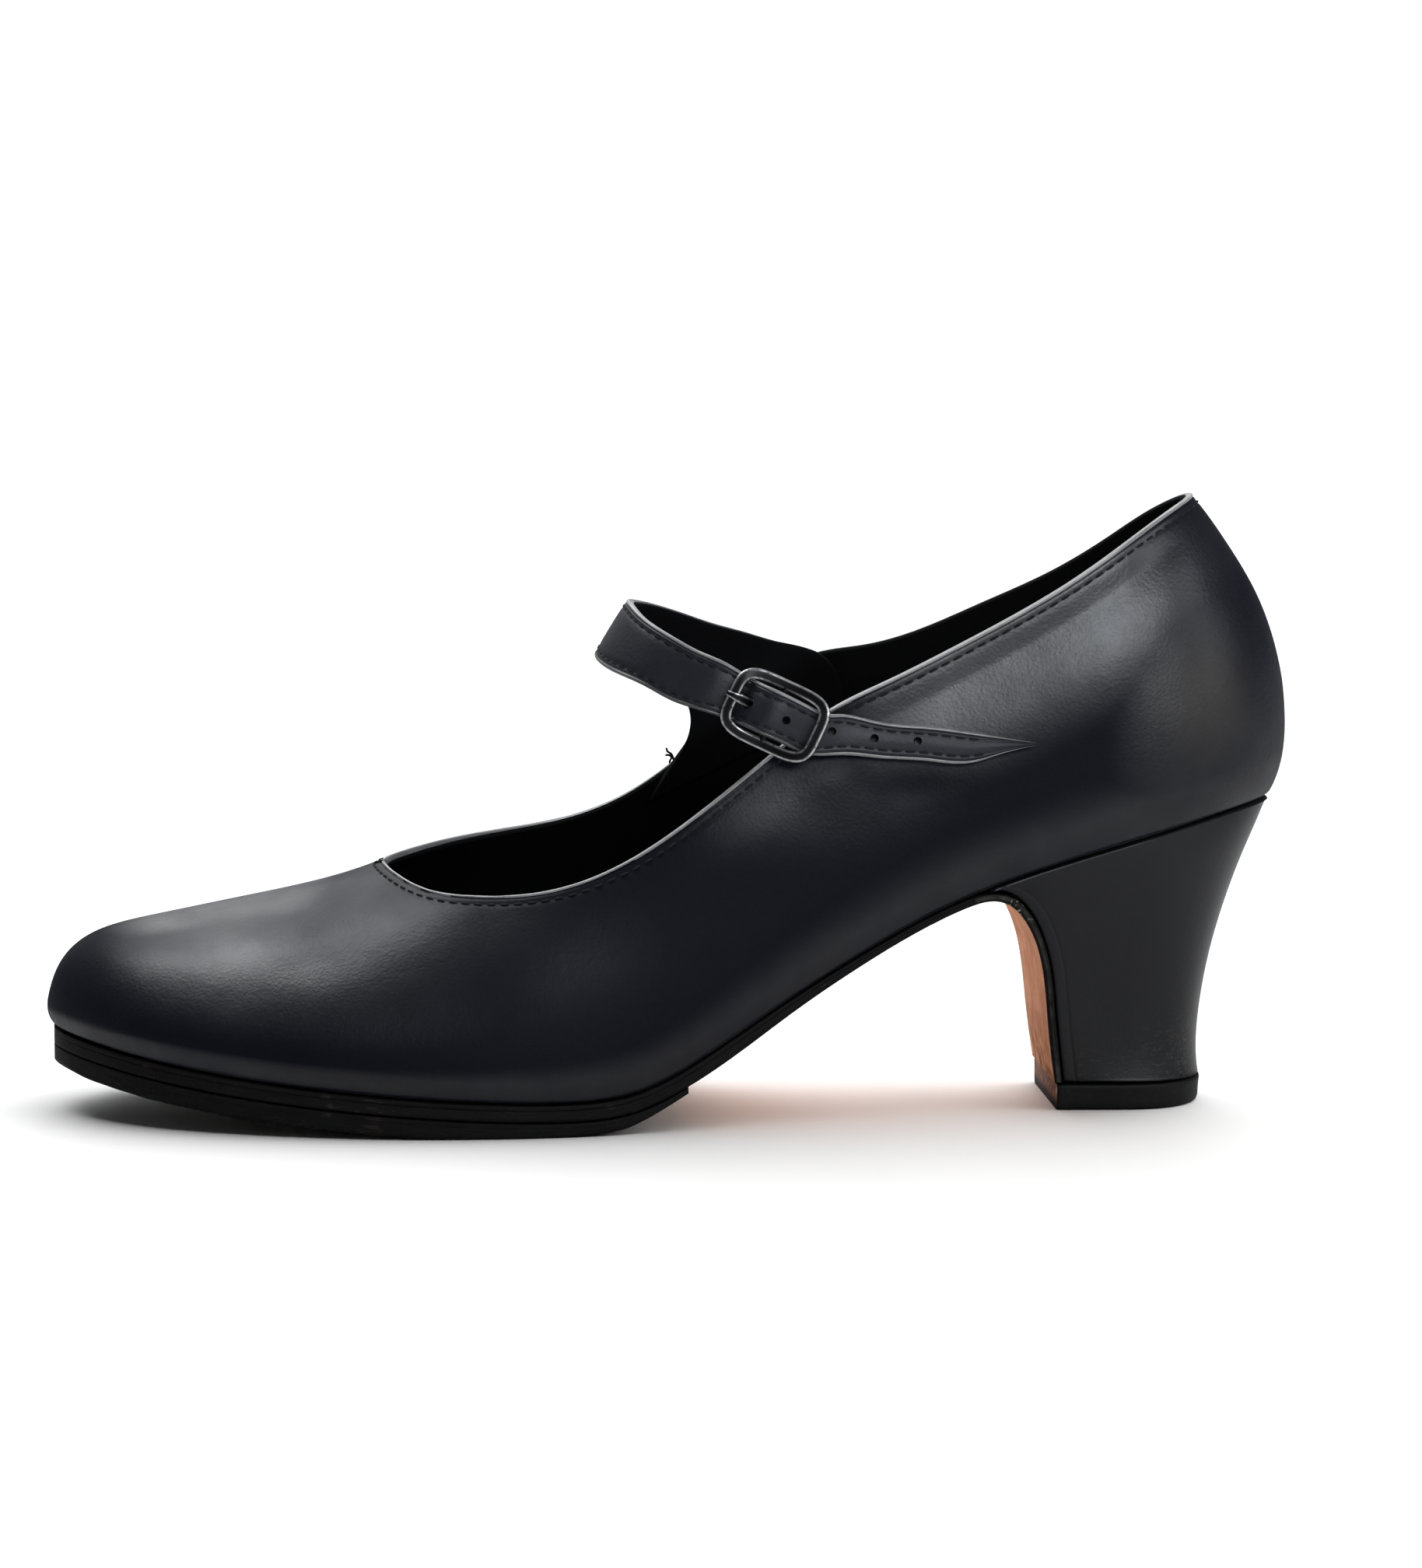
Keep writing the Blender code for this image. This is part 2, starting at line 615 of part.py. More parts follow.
def frame_points():
    """The buckle's frame: a rounded oblong whose ends rise over the strap."""
    points = []
    for i in range(FRAME_POINTS):
        angle = 2 * math.pi * i / FRAME_POINTS
        c, s = math.cos(angle), math.sin(angle)
        size = (abs(c) ** FRAME_SQUARENESS + abs(s) ** FRAME_SQUARENESS) ** (-1 / FRAME_SQUARENESS)
        along = (FRAME_LENGTH / 2 - FRAME_WIRE) * size * c
        across = (FRAME_WIDTH / 2 - FRAME_WIRE) * size * s
        points.append(buckle_point(along, across, FRAME_ARCH * (2 * along / FRAME_LENGTH) ** 2))
    return points


def buckle_matrix(along=0.0, across=0.0, out=0.0):
    """A place in metres with its X along the strap, its Y across it and its Z out from the foot."""
    axes = Matrix(buckle_axes()).transposed().to_4x4()
    return Matrix.Translation(buckle_point(along, across, out) * MM) @ axes


def cylinder(name, radius, length, place):
    """A capped cylinder along the Z axis of a place."""
    mesh = bpy.data.meshes.new(name)
    work = bmesh.new()
    sizes = {"radius1": radius * MM, "radius2": radius * MM, "depth": length * MM}
    bmesh.ops.create_cone(work, cap_ends=True, segments=12, matrix=place, **sizes)
    work.to_mesh(mesh)
    work.free()
    return mesh


def block(name, size, place):
    """A box of a size in millimetres, centred on a place."""
    mesh = bpy.data.meshes.new(name)
    work = bmesh.new()
    stretch = Matrix.Diagonal((*(v * MM for v in size), 1))
    bmesh.ops.create_cube(work, size=1, matrix=place @ stretch)
    work.to_mesh(mesh)
    work.free()
    return mesh


def solid_of(curve):
    """A closed mesh from a curve with a bevel, so that other solids can be joined to it."""
    guide = bpy.data.objects.new(curve.name, curve)
    bpy.context.scene.collection.objects.link(guide)
    graph = bpy.context.evaluated_depsgraph_get()
    mesh = bpy.data.meshes.new_from_object(guide.evaluated_get(graph))
    work = bmesh.new()
    work.from_mesh(mesh)
    bmesh.ops.remove_doubles(work, verts=work.verts, dist=1e-6)
    bmesh.ops.recalc_face_normals(work, faces=work.faces)
    work.to_mesh(mesh)
    work.free()
    bpy.data.objects.remove(guide)
    return mesh


def chape_rows():
    """The buckle's leather loop: round the bar, then down to the wall under the strap's tail."""
    radius, half = BAR_WIRE + GAP + CHAPE / 2, CHAPE_WIDTH / 2
    line = []
    for i in range(CHAPE_TURNS + 1):
        angle = math.radians(40 + 230 * i / CHAPE_TURNS)
        line.append((radius * math.cos(angle), radius * math.sin(angle)))
    rows = [(*buckle_point(a, -half, o), *buckle_point(a, half, o)) for a, o in line + CHAPE_RUN]
    axes = buckle_axes()
    for x, z in CHAPE_ON_WALL:
        places = [(x + side * half * axes[1].x, z + side * half * axes[1].z) for side in (-1, 1)]
        ends = wall_row(places, LATERAL, GAP + CHAPE / 2 + 0.1)
        rows.append((*ends[0], *ends[1]))
    return rows


def helper(name, mesh, cutters, root):
    """An object that only cuts or joins another, kept out of the finished shoe."""
    made = bpy.data.objects.new(name, mesh)
    cutters.objects.link(made)
    made.parent = root
    made.hide_render = True
    made.display_type = "WIRE"
    return made


def combine(target, other, operation):
    step = target.modifiers.new(operation.lower(), "BOOLEAN")
    step.operation = operation
    step.solver = "EXACT"
    step.object = other


def thicken(target, thickness, offset):
    shell = target.modifiers.new("thickness", "SOLIDIFY")
    shell.thickness = thickness * MM
    shell.offset = offset


def build():
    for old in list(bpy.data.objects):
        bpy.data.objects.remove(old)
    parts = bpy.data.collections.new("flamenco_shoe")
    cutters = bpy.data.collections.new("cutters")
    for made in (parts, cutters):
        bpy.context.scene.collection.children.link(made)
    root = bpy.data.objects.new("flamenco_shoe", None)
    parts.objects.link(root)

    black_leather = material("black_leather", (0.012, 0.012, 0.015), 0.42)
    sole_leather = material("sole_leather", (0.42, 0.2, 0.1), 0.6)
    black_rubber = material("black_rubber", (0.012, 0.012, 0.013), 0.65)
    black_metal = material("black_metal", (0.03, 0.03, 0.035), 0.3, 0.9)
    lining = material("lining", (0.02, 0.018, 0.018), 0.7)

    upper = add_object("upper", upper_mesh(), black_leather, parts, root)
    thicken(upper, WALL, -1)
    add_object("outsole", outsole_mesh(), sole_leather, parts, root)
    add_object("half_sole", half_sole_mesh(), black_rubber, parts, root)
    add_object("insole", insole_mesh(), lining, parts, root)
    add_object("heel", heel_mesh(), black_leather, parts, root)
    outline = [(x, y) for x, y, _ in heel_ring(0.0, TOP_LIFT_LIP - TOP_LIFT_ROUND)]
    lift_curve = flat_outline("top_lift", outline, 0, TOP_LIFT, TOP_LIFT_ROUND)
    lift = add_object("top_lift", lift_curve, black_rubber, parts, root)
    lift.location.z = TOP_LIFT / 2 * MM

    strap = add_object("strap", band_mesh("strap", strap_rows(), STRAP_STEPS, 2), black_leather, parts, root)
    thicken(strap, STRAP, 0)
    places = [(buckle_matrix(along), radius) for along, radius in BUCKLE_HOLES]
    for place in TAIL_HOLES:
        centre = Vector(wall_row([place], LATERAL, 0)[0]) * MM
        places.append((Matrix.Translation(centre) @ buckle_matrix().to_3x3().to_4x4(), HOLE_RADIUS))
    for i, (place, radius) in enumerate(places):
        punch = cylinder(f"strap_punch_{i}", radius, PUNCH_LENGTH, place)
        combine(strap, helper(punch.name, punch, cutters, root), "DIFFERENCE")

    ring = solid_of(wire("buckle_ring", frame_points(), FRAME_WIRE, cyclic=True))
    frame = add_object("buckle_frame", ring, black_metal, parts, root)
    turned = buckle_matrix() @ Matrix.Rotation(math.pi / 2, 4, "X")
    bar = cylinder("buckle_bar", BAR_WIRE, FRAME_WIDTH - 2 * FRAME_WIRE, turned)
    combine(frame, helper("buckle_bar", bar, cutters, root), "UNION")
    prong_line = [buckle_point(along, 0, height) for along, height in PRONG]
    add_object("buckle_prong", wire("buckle_prong", prong_line, PRONG_WIRE), black_metal, parts, root)
    loop = band_mesh("buckle_chape", chape_rows(), CHAPE_STEPS, 2)
    chape = add_object("buckle_chape", loop, black_leather, parts, root)
    thicken(chape, CHAPE, 0)
    slot = block("chape_slot", (SLOT_LENGTH, CHAPE_SLOT, SLOT_LENGTH), buckle_matrix(-SLOT_LENGTH / 4))
    combine(chape, helper("chape_slot", slot, cutters, root), "DIFFERENCE")
    root.location = [v * MM for v in CENTRING]


build()
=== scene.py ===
# %% [markdown]
# # A flamenco shoe, dressed for the stage
# The solid model of this left shoe is finished: its sizes, its hollow upper and its heel are right.
# This lesson gives it its skin. Each piece is made again from the same tables at a finer step, with the
# edges, seams, thread, grain and wear that the solids leave out. All sizes are in millimetres until a
# mesh is made, because a shoemaker thinks in millimetres.

# %% Load the solid shoe
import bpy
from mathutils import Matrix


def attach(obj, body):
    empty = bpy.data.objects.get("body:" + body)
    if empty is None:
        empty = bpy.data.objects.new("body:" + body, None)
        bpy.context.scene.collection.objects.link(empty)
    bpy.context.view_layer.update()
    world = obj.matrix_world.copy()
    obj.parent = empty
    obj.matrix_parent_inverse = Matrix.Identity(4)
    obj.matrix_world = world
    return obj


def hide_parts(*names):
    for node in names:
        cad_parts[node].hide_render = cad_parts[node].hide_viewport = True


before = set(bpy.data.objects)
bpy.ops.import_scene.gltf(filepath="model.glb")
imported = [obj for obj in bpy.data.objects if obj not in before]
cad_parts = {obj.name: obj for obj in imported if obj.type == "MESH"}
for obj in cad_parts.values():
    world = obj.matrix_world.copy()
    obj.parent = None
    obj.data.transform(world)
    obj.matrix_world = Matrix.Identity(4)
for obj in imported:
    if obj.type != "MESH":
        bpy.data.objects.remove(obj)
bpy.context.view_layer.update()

# %% [markdown]
# ## The last in tables
# A shoe is built over a last, a wooden foot. Its sections are given by a few sizes at seventeen stations
# from toe to heel, and a smooth curve is drawn through each column. A table like this could also be a
# stack of drawn outlines, but numbers in columns can be compared and corrected one at a time.

# %% Sizes that all pieces share
import math
from collections import namedtuple
from functools import lru_cache

import bmesh
import bpy
import numpy as np
from mathutils import Matrix, Vector
from mathutils.bvhtree import BVHTree
from mathutils.kdtree import KDTree

MM = 0.001
CENTRING = np.array((-0.75, 1.26, 0.0))
LATERAL, MEDIAL = -1, 1
TOE_X, HEEL_X, THROAT_X = -119.3, 118.8, -55.0
GAP, WALL = 0.3, 1.8
print("last:", round(HEEL_X - TOE_X, 1), "mm long; wall of the upper:", WALL, "mm")

# %% Sections of the last
Section = namedtuple("Section", "x lateral medial swell swell_height arch crown reach crown_y")
LAST = [Section(*row) for row in (
    (-119.3, -3.5, 3.5, 1.6, 5.0, 0.0, 6.0, 0.75, 3.5),
    (-112.0, 14.0, 20.5, 1.7, 7.0, 0.0, 18.6, 0.72, 3.5),
    (-100.0, 24.8, 29.8, 1.8, 8.0, 0.0, 24.2, 0.68, 3.5),
    (-85.0, 32.6, 35.7, 1.9, 9.0, 0.0, 29.2, 0.64, 3.5),
    (-70.0, 37.8, 38.8, 2.0, 10.0, 0.0, 33.9, 0.60, 3.5),
    (-55.0, 41.0, 39.6, 2.0, 11.0, 0.0, 39.8, 0.56, 3.6),
    (-40.0, 42.2, 38.2, 2.0, 12.0, 0.4, 47.5, 0.56, 3.7),
    (-20.0, 41.0, 33.6, 2.0, 13.0, 1.6, 60.5, 0.60, 3.3),
    (0.0, 36.6, 27.3, 2.0, 14.0, 3.0, 75.0, 0.65, 2.2),
    (20.0, 31.4, 23.2, 2.0, 14.0, 4.0, 87.0, 0.70, 1.0),
    (40.0, 28.0, 21.8, 2.0, 14.0, 3.6, 96.0, 0.72, 0.0),
    (60.0, 26.4, 22.8, 2.2, 14.0, 2.2, 101.0, 0.72, 0.0),
    (80.0, 25.6, 24.4, 2.6, 14.0, 0.8, 101.0, 0.72, 0.0),
    (95.0, 23.4, 23.0, 3.0, 14.0, 0.2, 101.0, 0.72, 0.0),
    (107.0, 17.8, 17.8, 3.2, 14.0, 0.0, 101.0, 0.72, 0.0),
    (114.5, 10.5, 10.5, 3.3, 14.0, 0.0, 101.0, 0.72, 0.0),
    (118.8, 0.0, 0.0, 3.3, 14.0, 0.0, 101.0, 0.72, 0.0),
)]
print("sections of the last:", len(LAST))

# %% Underside and topline
Bottom = namedtuple("Bottom", "x feather outsole")
BOTTOM = [Bottom(*row) for row in (
    (-119.3, 16.4, 3.2), (-105.0, 13.9, 3.2), (-88.0, 11.3, 3.2), (-70.0, 9.3, 3.2), (-52.0, 7.8, 3.2),
    (-35.0, 6.8, 3.2), (-20.0, 6.5, 3.2), (-8.0, 7.9, 3.2), (5.0, 14.0, 3.1), (20.0, 23.3, 2.3),
    (35.0, 32.2, 1.7), (50.0, 40.2, 1.45), (62.0, 45.2, 1.5), (80.0, 51.0, 1.6), (97.0, 55.6, 1.6),
    (110.0, 58.6, 1.6), (118.8, 60.0, 1.6),
)]
Topline = namedtuple("Topline", "x lateral medial")
TOPLINE = [Topline(*row) for row in (
    (-55.0, 47.9, 47.9), (-48.0, 45.2, 49.3), (-40.0, 44.4, 50.6), (-30.0, 44.9, 51.8),
    (-19.0, 47.2, 53.5), (-7.0, 52.6, 57.8), (5.0, 60.7, 66.1), (17.0, 70.0, 76.9),
    (29.0, 79.0, 85.4), (41.0, 84.9, 87.7), (53.0, 90.7, 91.0), (65.0, 96.9, 96.0),
    (78.0, 104.4, 101.8), (90.0, 112.2, 109.3), (98.0, 116.8, 115.5), (103.0, 119.0, 119.0),
)]
print("rows of the underside and the topline:", len(BOTTOM), len(TOPLINE))

# %% Smooth curves and soft steps
def smooth(knots, values):
    """A natural cubic spline through the values, as a function."""
    knots, values = np.asarray(knots, float), np.asarray(values, float)
    count, step = len(knots), np.diff(knots)
    slope = np.diff(values) / step
    matrix, right = np.eye(count), np.zeros(count)
    for i in range(1, count - 1):
        matrix[i, i - 1 : i + 2] = step[i - 1], 2 * (step[i - 1] + step[i]), step[i]
        right[i] = 6 * (slope[i] - slope[i - 1])
    bend = np.linalg.solve(matrix, right)

    def at(x):
        i = np.clip(np.searchsorted(knots, x) - 1, 0, count - 2)
        a, b = (knots[i + 1] - x) / step[i], (x - knots[i]) / step[i]
        curve = (a**3 - a) * bend[i] + (b**3 - b) * bend[i + 1]
        return a * values[i] + b * values[i + 1] + curve * step[i] ** 2 / 6

    return at


def run_along(points):
    """How far along a line each of its points lies."""
    return np.concatenate([[0], np.cumsum(np.linalg.norm(np.diff(points, axis=0), axis=1))])


def smooth_path(points):
    """A smooth line through points of any dimension, as a function of 0 to 1 along it, and its knots."""
    points = np.asarray(points, float)
    run = run_along(points)
    knots = run / run[-1]
    parts = [smooth(knots, values) for values in points.T]
    return (lambda s: np.stack([part(s) for part in parts], -1)), knots


def smooth_step(value, low, high):
    """0 up to low, 1 from high on, and a soft step from one to the other."""
    share = np.clip((value - low) / (high - low), 0.0, 1.0)
    return share * share * (3 - 2 * share)


print("halfway up a soft step:", float(smooth_step(0.5, 0.0, 1.0)))

# %% Curves through the columns of the tables
def straight_path(at, run, points):
    """Points at places along a line, on straight runs between its own."""
    return np.stack([np.interp(at, run, points[:, k]) for k in range(3)], -1)


def unit(vectors):
    """The same directions, each of length 1."""
    return vectors / np.linalg.norm(vectors, axis=-1, keepdims=True)


def turn(x):
    """The angle of a station along the length, so that widths round off at the toe and the heel."""
    return np.arccos(1 - 2 * np.clip((np.asarray(x, float) - TOE_X) / (HEEL_X - TOE_X), 0, 1))


def last_column(name):
    """A smooth curve through one size of the last, as a function of the station."""
    curve = smooth([turn(row.x) for row in LAST], [getattr(row, name) for row in LAST])
    return lambda x: curve(turn(x))


def column(table, name):
    """A smooth curve through one column of a table, as a function of the station."""
    return smooth([row.x for row in table], [getattr(row, name) for row in table])


half_width = {LATERAL: last_column("lateral"), MEDIAL: last_column("medial")}
swell, swell_height, arch = last_column("swell"), last_column("swell_height"), last_column("arch")
crown, reach, crown_y = last_column("crown"), last_column("reach"), last_column("crown_y")
feather, outsole_thickness = column(BOTTOM, "feather"), column(BOTTOM, "outsole")
topline = {LATERAL: column(TOPLINE, "lateral"), MEDIAL: column(TOPLINE, "medial")}
print("ball of the foot:", round(float(half_width[LATERAL](-50) + half_width[MEDIAL](-50)), 1), "mm wide")

# %% [markdown]
# ## The skin of the last
# At each station the wall rises from the feather line, where upper and sole meet, over the instep to the
# crown. One cubic arc with a swell near the floor gives that profile. The alternative, a sculpted mesh,
# would be quicker to look at and slower to measure: here every later piece can ask where the wall is.

# %% One section of the wall
SECTION_RISE, ARCH_HEIGHT, TINY_TURN = 0.5, 30.0, 1e-4
HEEL_LEAN, LEAN_FROM, LEAN_OVER, LEAN_POWER, LEAN_STARTS_X = 16.5, 20.0, 39.5, 2.0, 30.0


def outline_normal(x, side):
    """The outward direction of the feather line in plan."""
    if x <= TOE_X or x >= HEEL_X:
        return (-1.0 if x <= TOE_X else 1.0), 0.0
    ahead, behind = (
        TOE_X + (HEEL_X - TOE_X) * (1 - math.cos(float(turn(x)) + step)) / 2
        for step in (TINY_TURN, -TINY_TURN)
    )
    run, rise = ahead - behind, half_width[side](ahead) - half_width[side](behind)
    length = math.hypot(run, rise)
    return -rise / length, side * run / length


def wall(x, side):
    """The skin at one station, as a function of t: 0 at the feather line, 1 on the crown."""
    foot, top, height = side * half_width[side](x), crown_y(x), crown(x)
    shoulder, base = top + reach(x) * (foot - top), feather(x)
    out_x, out_y = outline_normal(x, side)
    tilt = HEEL_LEAN * smooth_step(x, LEAN_STARTS_X, HEEL_X)

    def at(t):
        u = 1 - t
        y = (u**3 + 3 * u * u * t) * foot + 3 * u * t * t * shoulder + t**3 * top
        up = 3 * u * u * t * SECTION_RISE * height + (3 * u * t * t + t**3) * height
        level = up / swell_height(x)
        bulge = swell(x) * level * np.exp(1 - level) * (1 - t * t)
        if side == MEDIAL:
            level = up / ARCH_HEIGHT
            bulge = bulge + arch(x) * level * np.exp(1 - level) * (1 - t * t)
        lean = tilt * (np.maximum(0.0, up - LEAN_FROM) / LEAN_OVER) ** LEAN_POWER
        return np.stack([x + bulge * out_x - lean, y + bulge * out_y, base + up], -1)

    return at


print("crown at the instep:", [round(float(v), 1) for v in wall(0, LATERAL)(1.0)])

# %% Finding a place on the wall
HALVINGS = 36


def halve(test):
    """The place between 0 and 1 where a test stops being true."""
    low, high = 0.0, 1.0
    for _ in range(HALVINGS):
        middle = (low + high) / 2
        low, high = (middle, high) if test(middle) else (low, middle)
    return high


def topline_share(x, side):
    """How far up the wall the upper reaches at this station."""
    at = wall(x, side)

    def below(t):
        px, _, pz = at(t)
        return pz < topline[side](px)

    return 1.0 if x <= THROAT_X else halve(below)


def wall_y(x, z, side, stand_off=0.0):
    """Where the wall is at a place seen from the side, moved outward by a distance."""
    at = wall(x, side)
    return at(halve(lambda t: at(t)[2] < z))[1] + side * stand_off


print("wall at the instep stands", round(float(wall_y(0, 40, LATERAL)), 1), "mm to the outer side")

# %% [markdown]
# ## Making a piece
# Every piece goes the same way: points and faces in millimetres, a finish for each zone of faces, and
# named values on the points that the finishes can read. It then rides on the shoe's one body, and says
# which solid it stands for.

# %% A helper for pieces
def piece(name, points, faces, finishes, stands_for=None, zones=None, layers=None, sharp=40):
    """A piece from points in millimetres; zones choose each face's finish, layers are values on points."""
    mesh = bpy.data.meshes.new(name)
    mesh.from_pydata(((np.asarray(points, float) + CENTRING) * MM).tolist(), [], [list(f) for f in faces])
    for finish in finishes:
        mesh.materials.append(finish)
    if zones is not None:
        mesh.polygons.foreach_set("material_index", np.asarray(zones, np.int32))
    for layer, values in (layers or {}).items():
        made = mesh.attributes.new(layer, "FLOAT", "POINT")
        made.data.foreach_set("value", np.asarray(values, np.float32))
    work = bmesh.new()
    work.from_mesh(mesh)
    bmesh.ops.recalc_face_normals(work, faces=work.faces)
    work.to_mesh(mesh)
    work.free()
    mesh.shade_smooth()
    mesh.set_sharp_from_angle(angle=math.radians(sharp))
    made = bpy.data.objects.new(name, mesh)
    bpy.context.scene.collection.objects.link(made)
    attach(made, "root")
    if stands_for:
        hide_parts(stands_for)
    print(f"{name}: {len(points)} points, {len(faces)} faces")
    return made


# %% Rings, joins and cuts
def lofted(rings, ends=True):
    """Points and faces through closed rings of equal length."""
    size, count = len(rings[0]), len(rings)
    grid = np.arange(size * count).reshape(count, size)
    wide = np.hstack([grid, grid[:, :1]])
    faces = np.stack([wide[:-1, :-1], wide[:-1, 1:], wide[1:, 1:], wide[1:, :-1]], -1)
    faces = faces.reshape(-1, 4).tolist()
    if ends:
        faces += [grid[0].tolist(), grid[-1].tolist()]
    return np.concatenate(rings), faces


def joined(parts):
    """One set of points and faces from several."""
    points, faces, start = [], [], 0
    for some, rest in parts:
        points.append(some)
        faces += [[v + start for v in face] for face in rest]
        start += len(some)
    return np.concatenate(points), faces


def carve(target, cutters):
    """Cuts meshes in metres out of a piece for good, so that no helper stays in the scene."""
    for mesh in cutters:
        helper = bpy.data.objects.new("helper", mesh)
        bpy.context.scene.collection.objects.link(helper)
        step = target.modifiers.new("cut", "BOOLEAN")
        step.operation, step.solver, step.object = "DIFFERENCE", "EXACT", helper
        graph = bpy.context.evaluated_depsgraph_get()
        result = bpy.data.meshes.new_from_object(target.evaluated_get(graph))
        target.modifiers.remove(step)
        result.name, target.data = target.data.name, result
        bpy.data.objects.remove(helper)


print("helpers ready:", [helper.__name__ for helper in (lofted, joined, carve)])

# %% [markdown]
# ## Writing shaders as sums
# A finish is a small calculation: so much grain, a little less gloss here, some wear there. Nodes can be
# joined by hand, but a sum reads better. `Field` stands for one socket and lets Python's own operators
# add the Math nodes. Colours pass through Mix nodes, since a Math node would turn them grey.

# %% A field: one value over a surface
class Field:
    """A value that changes over a surface: one output socket."""

    def __init__(self, nodes, socket):
        self.nodes, self.socket = nodes, socket

    def maths(self, operation, *terms):
        """A Math node over fields and numbers."""
        return self.nodes.node("Math", {"operation": operation}, dict(enumerate(terms)))

    def __add__(self, other):
        return self.maths("ADD", self, other)

    def __sub__(self, other):
        return self.maths("SUBTRACT", self, other)

    def __rsub__(self, other):
        return self.maths("SUBTRACT", other, self)

    def __mul__(self, other):
        return self.maths("MULTIPLY", self, other)

    def __pow__(self, other):
        return self.maths("POWER", self, other)

    __radd__, __rmul__ = __add__, __mul__

    def between(self, low, high):
        """0 up to low, 1 from high on, and a soft step from one to the other."""
        ends = {"Value": self, "From Min": low, "From Max": high}
        return self.nodes.node("MapRange", {"interpolation_type": "SMOOTHSTEP"}, ends)


print("a field can add, subtract, multiply and take powers")

# %% The nodes of a finish
class Nodes:
    """The nodes of one finish."""

    def __init__(self, tree):
        self.tree = tree

    def node(self, kind, settings=None, inputs=None, output=0):
        """Any node, by its type, its settings and the values or fields for its sockets."""
        made = self.tree.nodes.new("ShaderNode" + kind)
        for name, value in (settings or {}).items():
            setattr(made, name, value)
        for key, value in (inputs or {}).items():
            self.feed(made.inputs[key], value)
        return Field(self, made.outputs[output])

    def feed(self, socket, value):
        """Joins a field to a socket, or sets the socket to a plain value."""
        if isinstance(value, Field):
            self.tree.links.new(value.socket, socket)
        else:
            socket.default_value = value

    def blend(self, share, low, high):
        """A colour between two others."""
        low, high = ((*c, 1) if isinstance(c, tuple) and len(c) == 3 else c for c in (low, high))
        return self.node("Mix", {"data_type": "RGBA"}, {0: share, 6: low, 7: high}, 2)


print("a node is made from its type, its settings and its inputs")

# %% A finish measured in millimetres
class Finish(Nodes):
    """A material in the making, with places on the piece in millimetres."""

    def __init__(self, name):
        self.material = bpy.data.materials.new(name)
        self.material.use_nodes = True
        super().__init__(self.material.node_tree)
        self.shader = self.tree.nodes["Principled BSDF"]
        metres = self.node("TexCoord", output="Object")
        self.place = self.node("VectorMath", {"operation": "SCALE"}, {0: metres, "Scale": 1 / MM})

    def stretched(self, x, y, z):
        """The place on the piece with each axis scaled, for noise drawn out one way."""
        return self.node("VectorMath", {"operation": "MULTIPLY"}, {0: self.place, 1: (x, y, z)})

    def noise(self, size, detail=2.0, where=None, rough=0.5):
        """Cloudy noise from 0 to 1 with blobs of about this size."""
        values = {"Vector": where or self.place, "Scale": 1 / size, "Detail": detail, "Roughness": rough}
        return self.node("TexNoise", None, values, "Fac")

    def cells(self, size, feature="F1"):
        """Distance to the nearest of scattered points of about this spacing."""
        values = {"Vector": self.place, "Scale": 1 / size}
        return self.node("TexVoronoi", {"feature": feature}, values, "Distance")

    def layer(self, name):
        """A value that the piece carries on its points."""
        return self.node("Attribute", {"attribute_name": name}, output="Fac")

    def near(self, point, low, high):
        """1 within a distance low of a point in the shoe's own millimetres, 0 beyond high."""
        spot = tuple(float(v) for v in np.asarray(point) + CENTRING)
        gap = self.node("VectorMath", {"operation": "DISTANCE"}, {0: self.place, 1: spot}, "Value")
        return 1 - gap.between(low, high)

    def surface(self, height=None, **values):
        """Sets the shader's sockets, and a relief whose height is in millimetres."""
        for name, value in values.items():
            self.feed(self.shader.inputs[name.replace("_", " ").title().replace("Ior", "IOR")], value)
        if height is not None:
            bump = self.node("Bump", None, {"Height": height, "Distance": MM}, "Normal")
            self.feed(self.shader.inputs["Normal"], bump)
        return self.material

    def over(self, share, **values):
        """A second shader with its own sockets, over the first where share is 1."""
        first, self.shader = self.shader, self.tree.nodes.new("ShaderNodeBsdfPrincipled")
        self.surface(**values)
        shaders = [Field(self, shader.outputs[0]) for shader in (first, self.shader)]
        both = self.node("MixShader", None, {0: share, 1: shaders[0], 2: shaders[1]})
        self.feed(self.tree.nodes["Material Output"].inputs["Surface"], both)
        return self.material


print("a finish can ask for noise, cells, a layer of the points and nearness to a spot")

# %% [markdown]
# ## Black calf
# The upper is smooth calf with a satin polish: blue-black, a fine pebble grain about half a millimetre
# across, and gloss that comes and goes in soft patches where hands and brush have been. A flat black
# would look like plastic, so grain, pores and polish each get their own noise, at their own size.
# The stiffened toe and quarter take the brush well and shine; the sides that bend with the foot stay
# dull. The upper therefore has two shaders, dull and polished, mixed by a layer on its points. A clear
# coat over one shader would be simpler, but it lies smooth over the grain and looks like varnish.

# %% The leather of the upper and strap
def calf(name, colour, worn, roughness, polish=0.14, dull_rim=0.3):
    """A calf finish in the making, with its tint, its roughness and its relief."""
    leather = Finish(name)
    pebble = leather.cells(0.62, "SMOOTH_F1") - 0.3 * leather.cells(0.36)
    slant = leather.node("LayerWeight", None, {"Blend": 0.5}, "Facing")
    pores = leather.noise(0.22, 1.0).between(0.68, 0.8)
    drape = leather.noise(7.0, 3.0)
    patches = leather.noise(22.0, 3.0)
    tint = leather.blend(patches.between(0.35, 0.7), colour, worn)
    rough = roughness + polish * (patches - 0.5) + 0.05 * (leather.noise(1.4) - 0.5) + dull_rim * slant**3
    relief = 0.020 * pebble - 0.010 * pores + 0.035 * drape + 0.006 * leather.noise(0.12, 1.0)
    return leather, tint, rough, relief


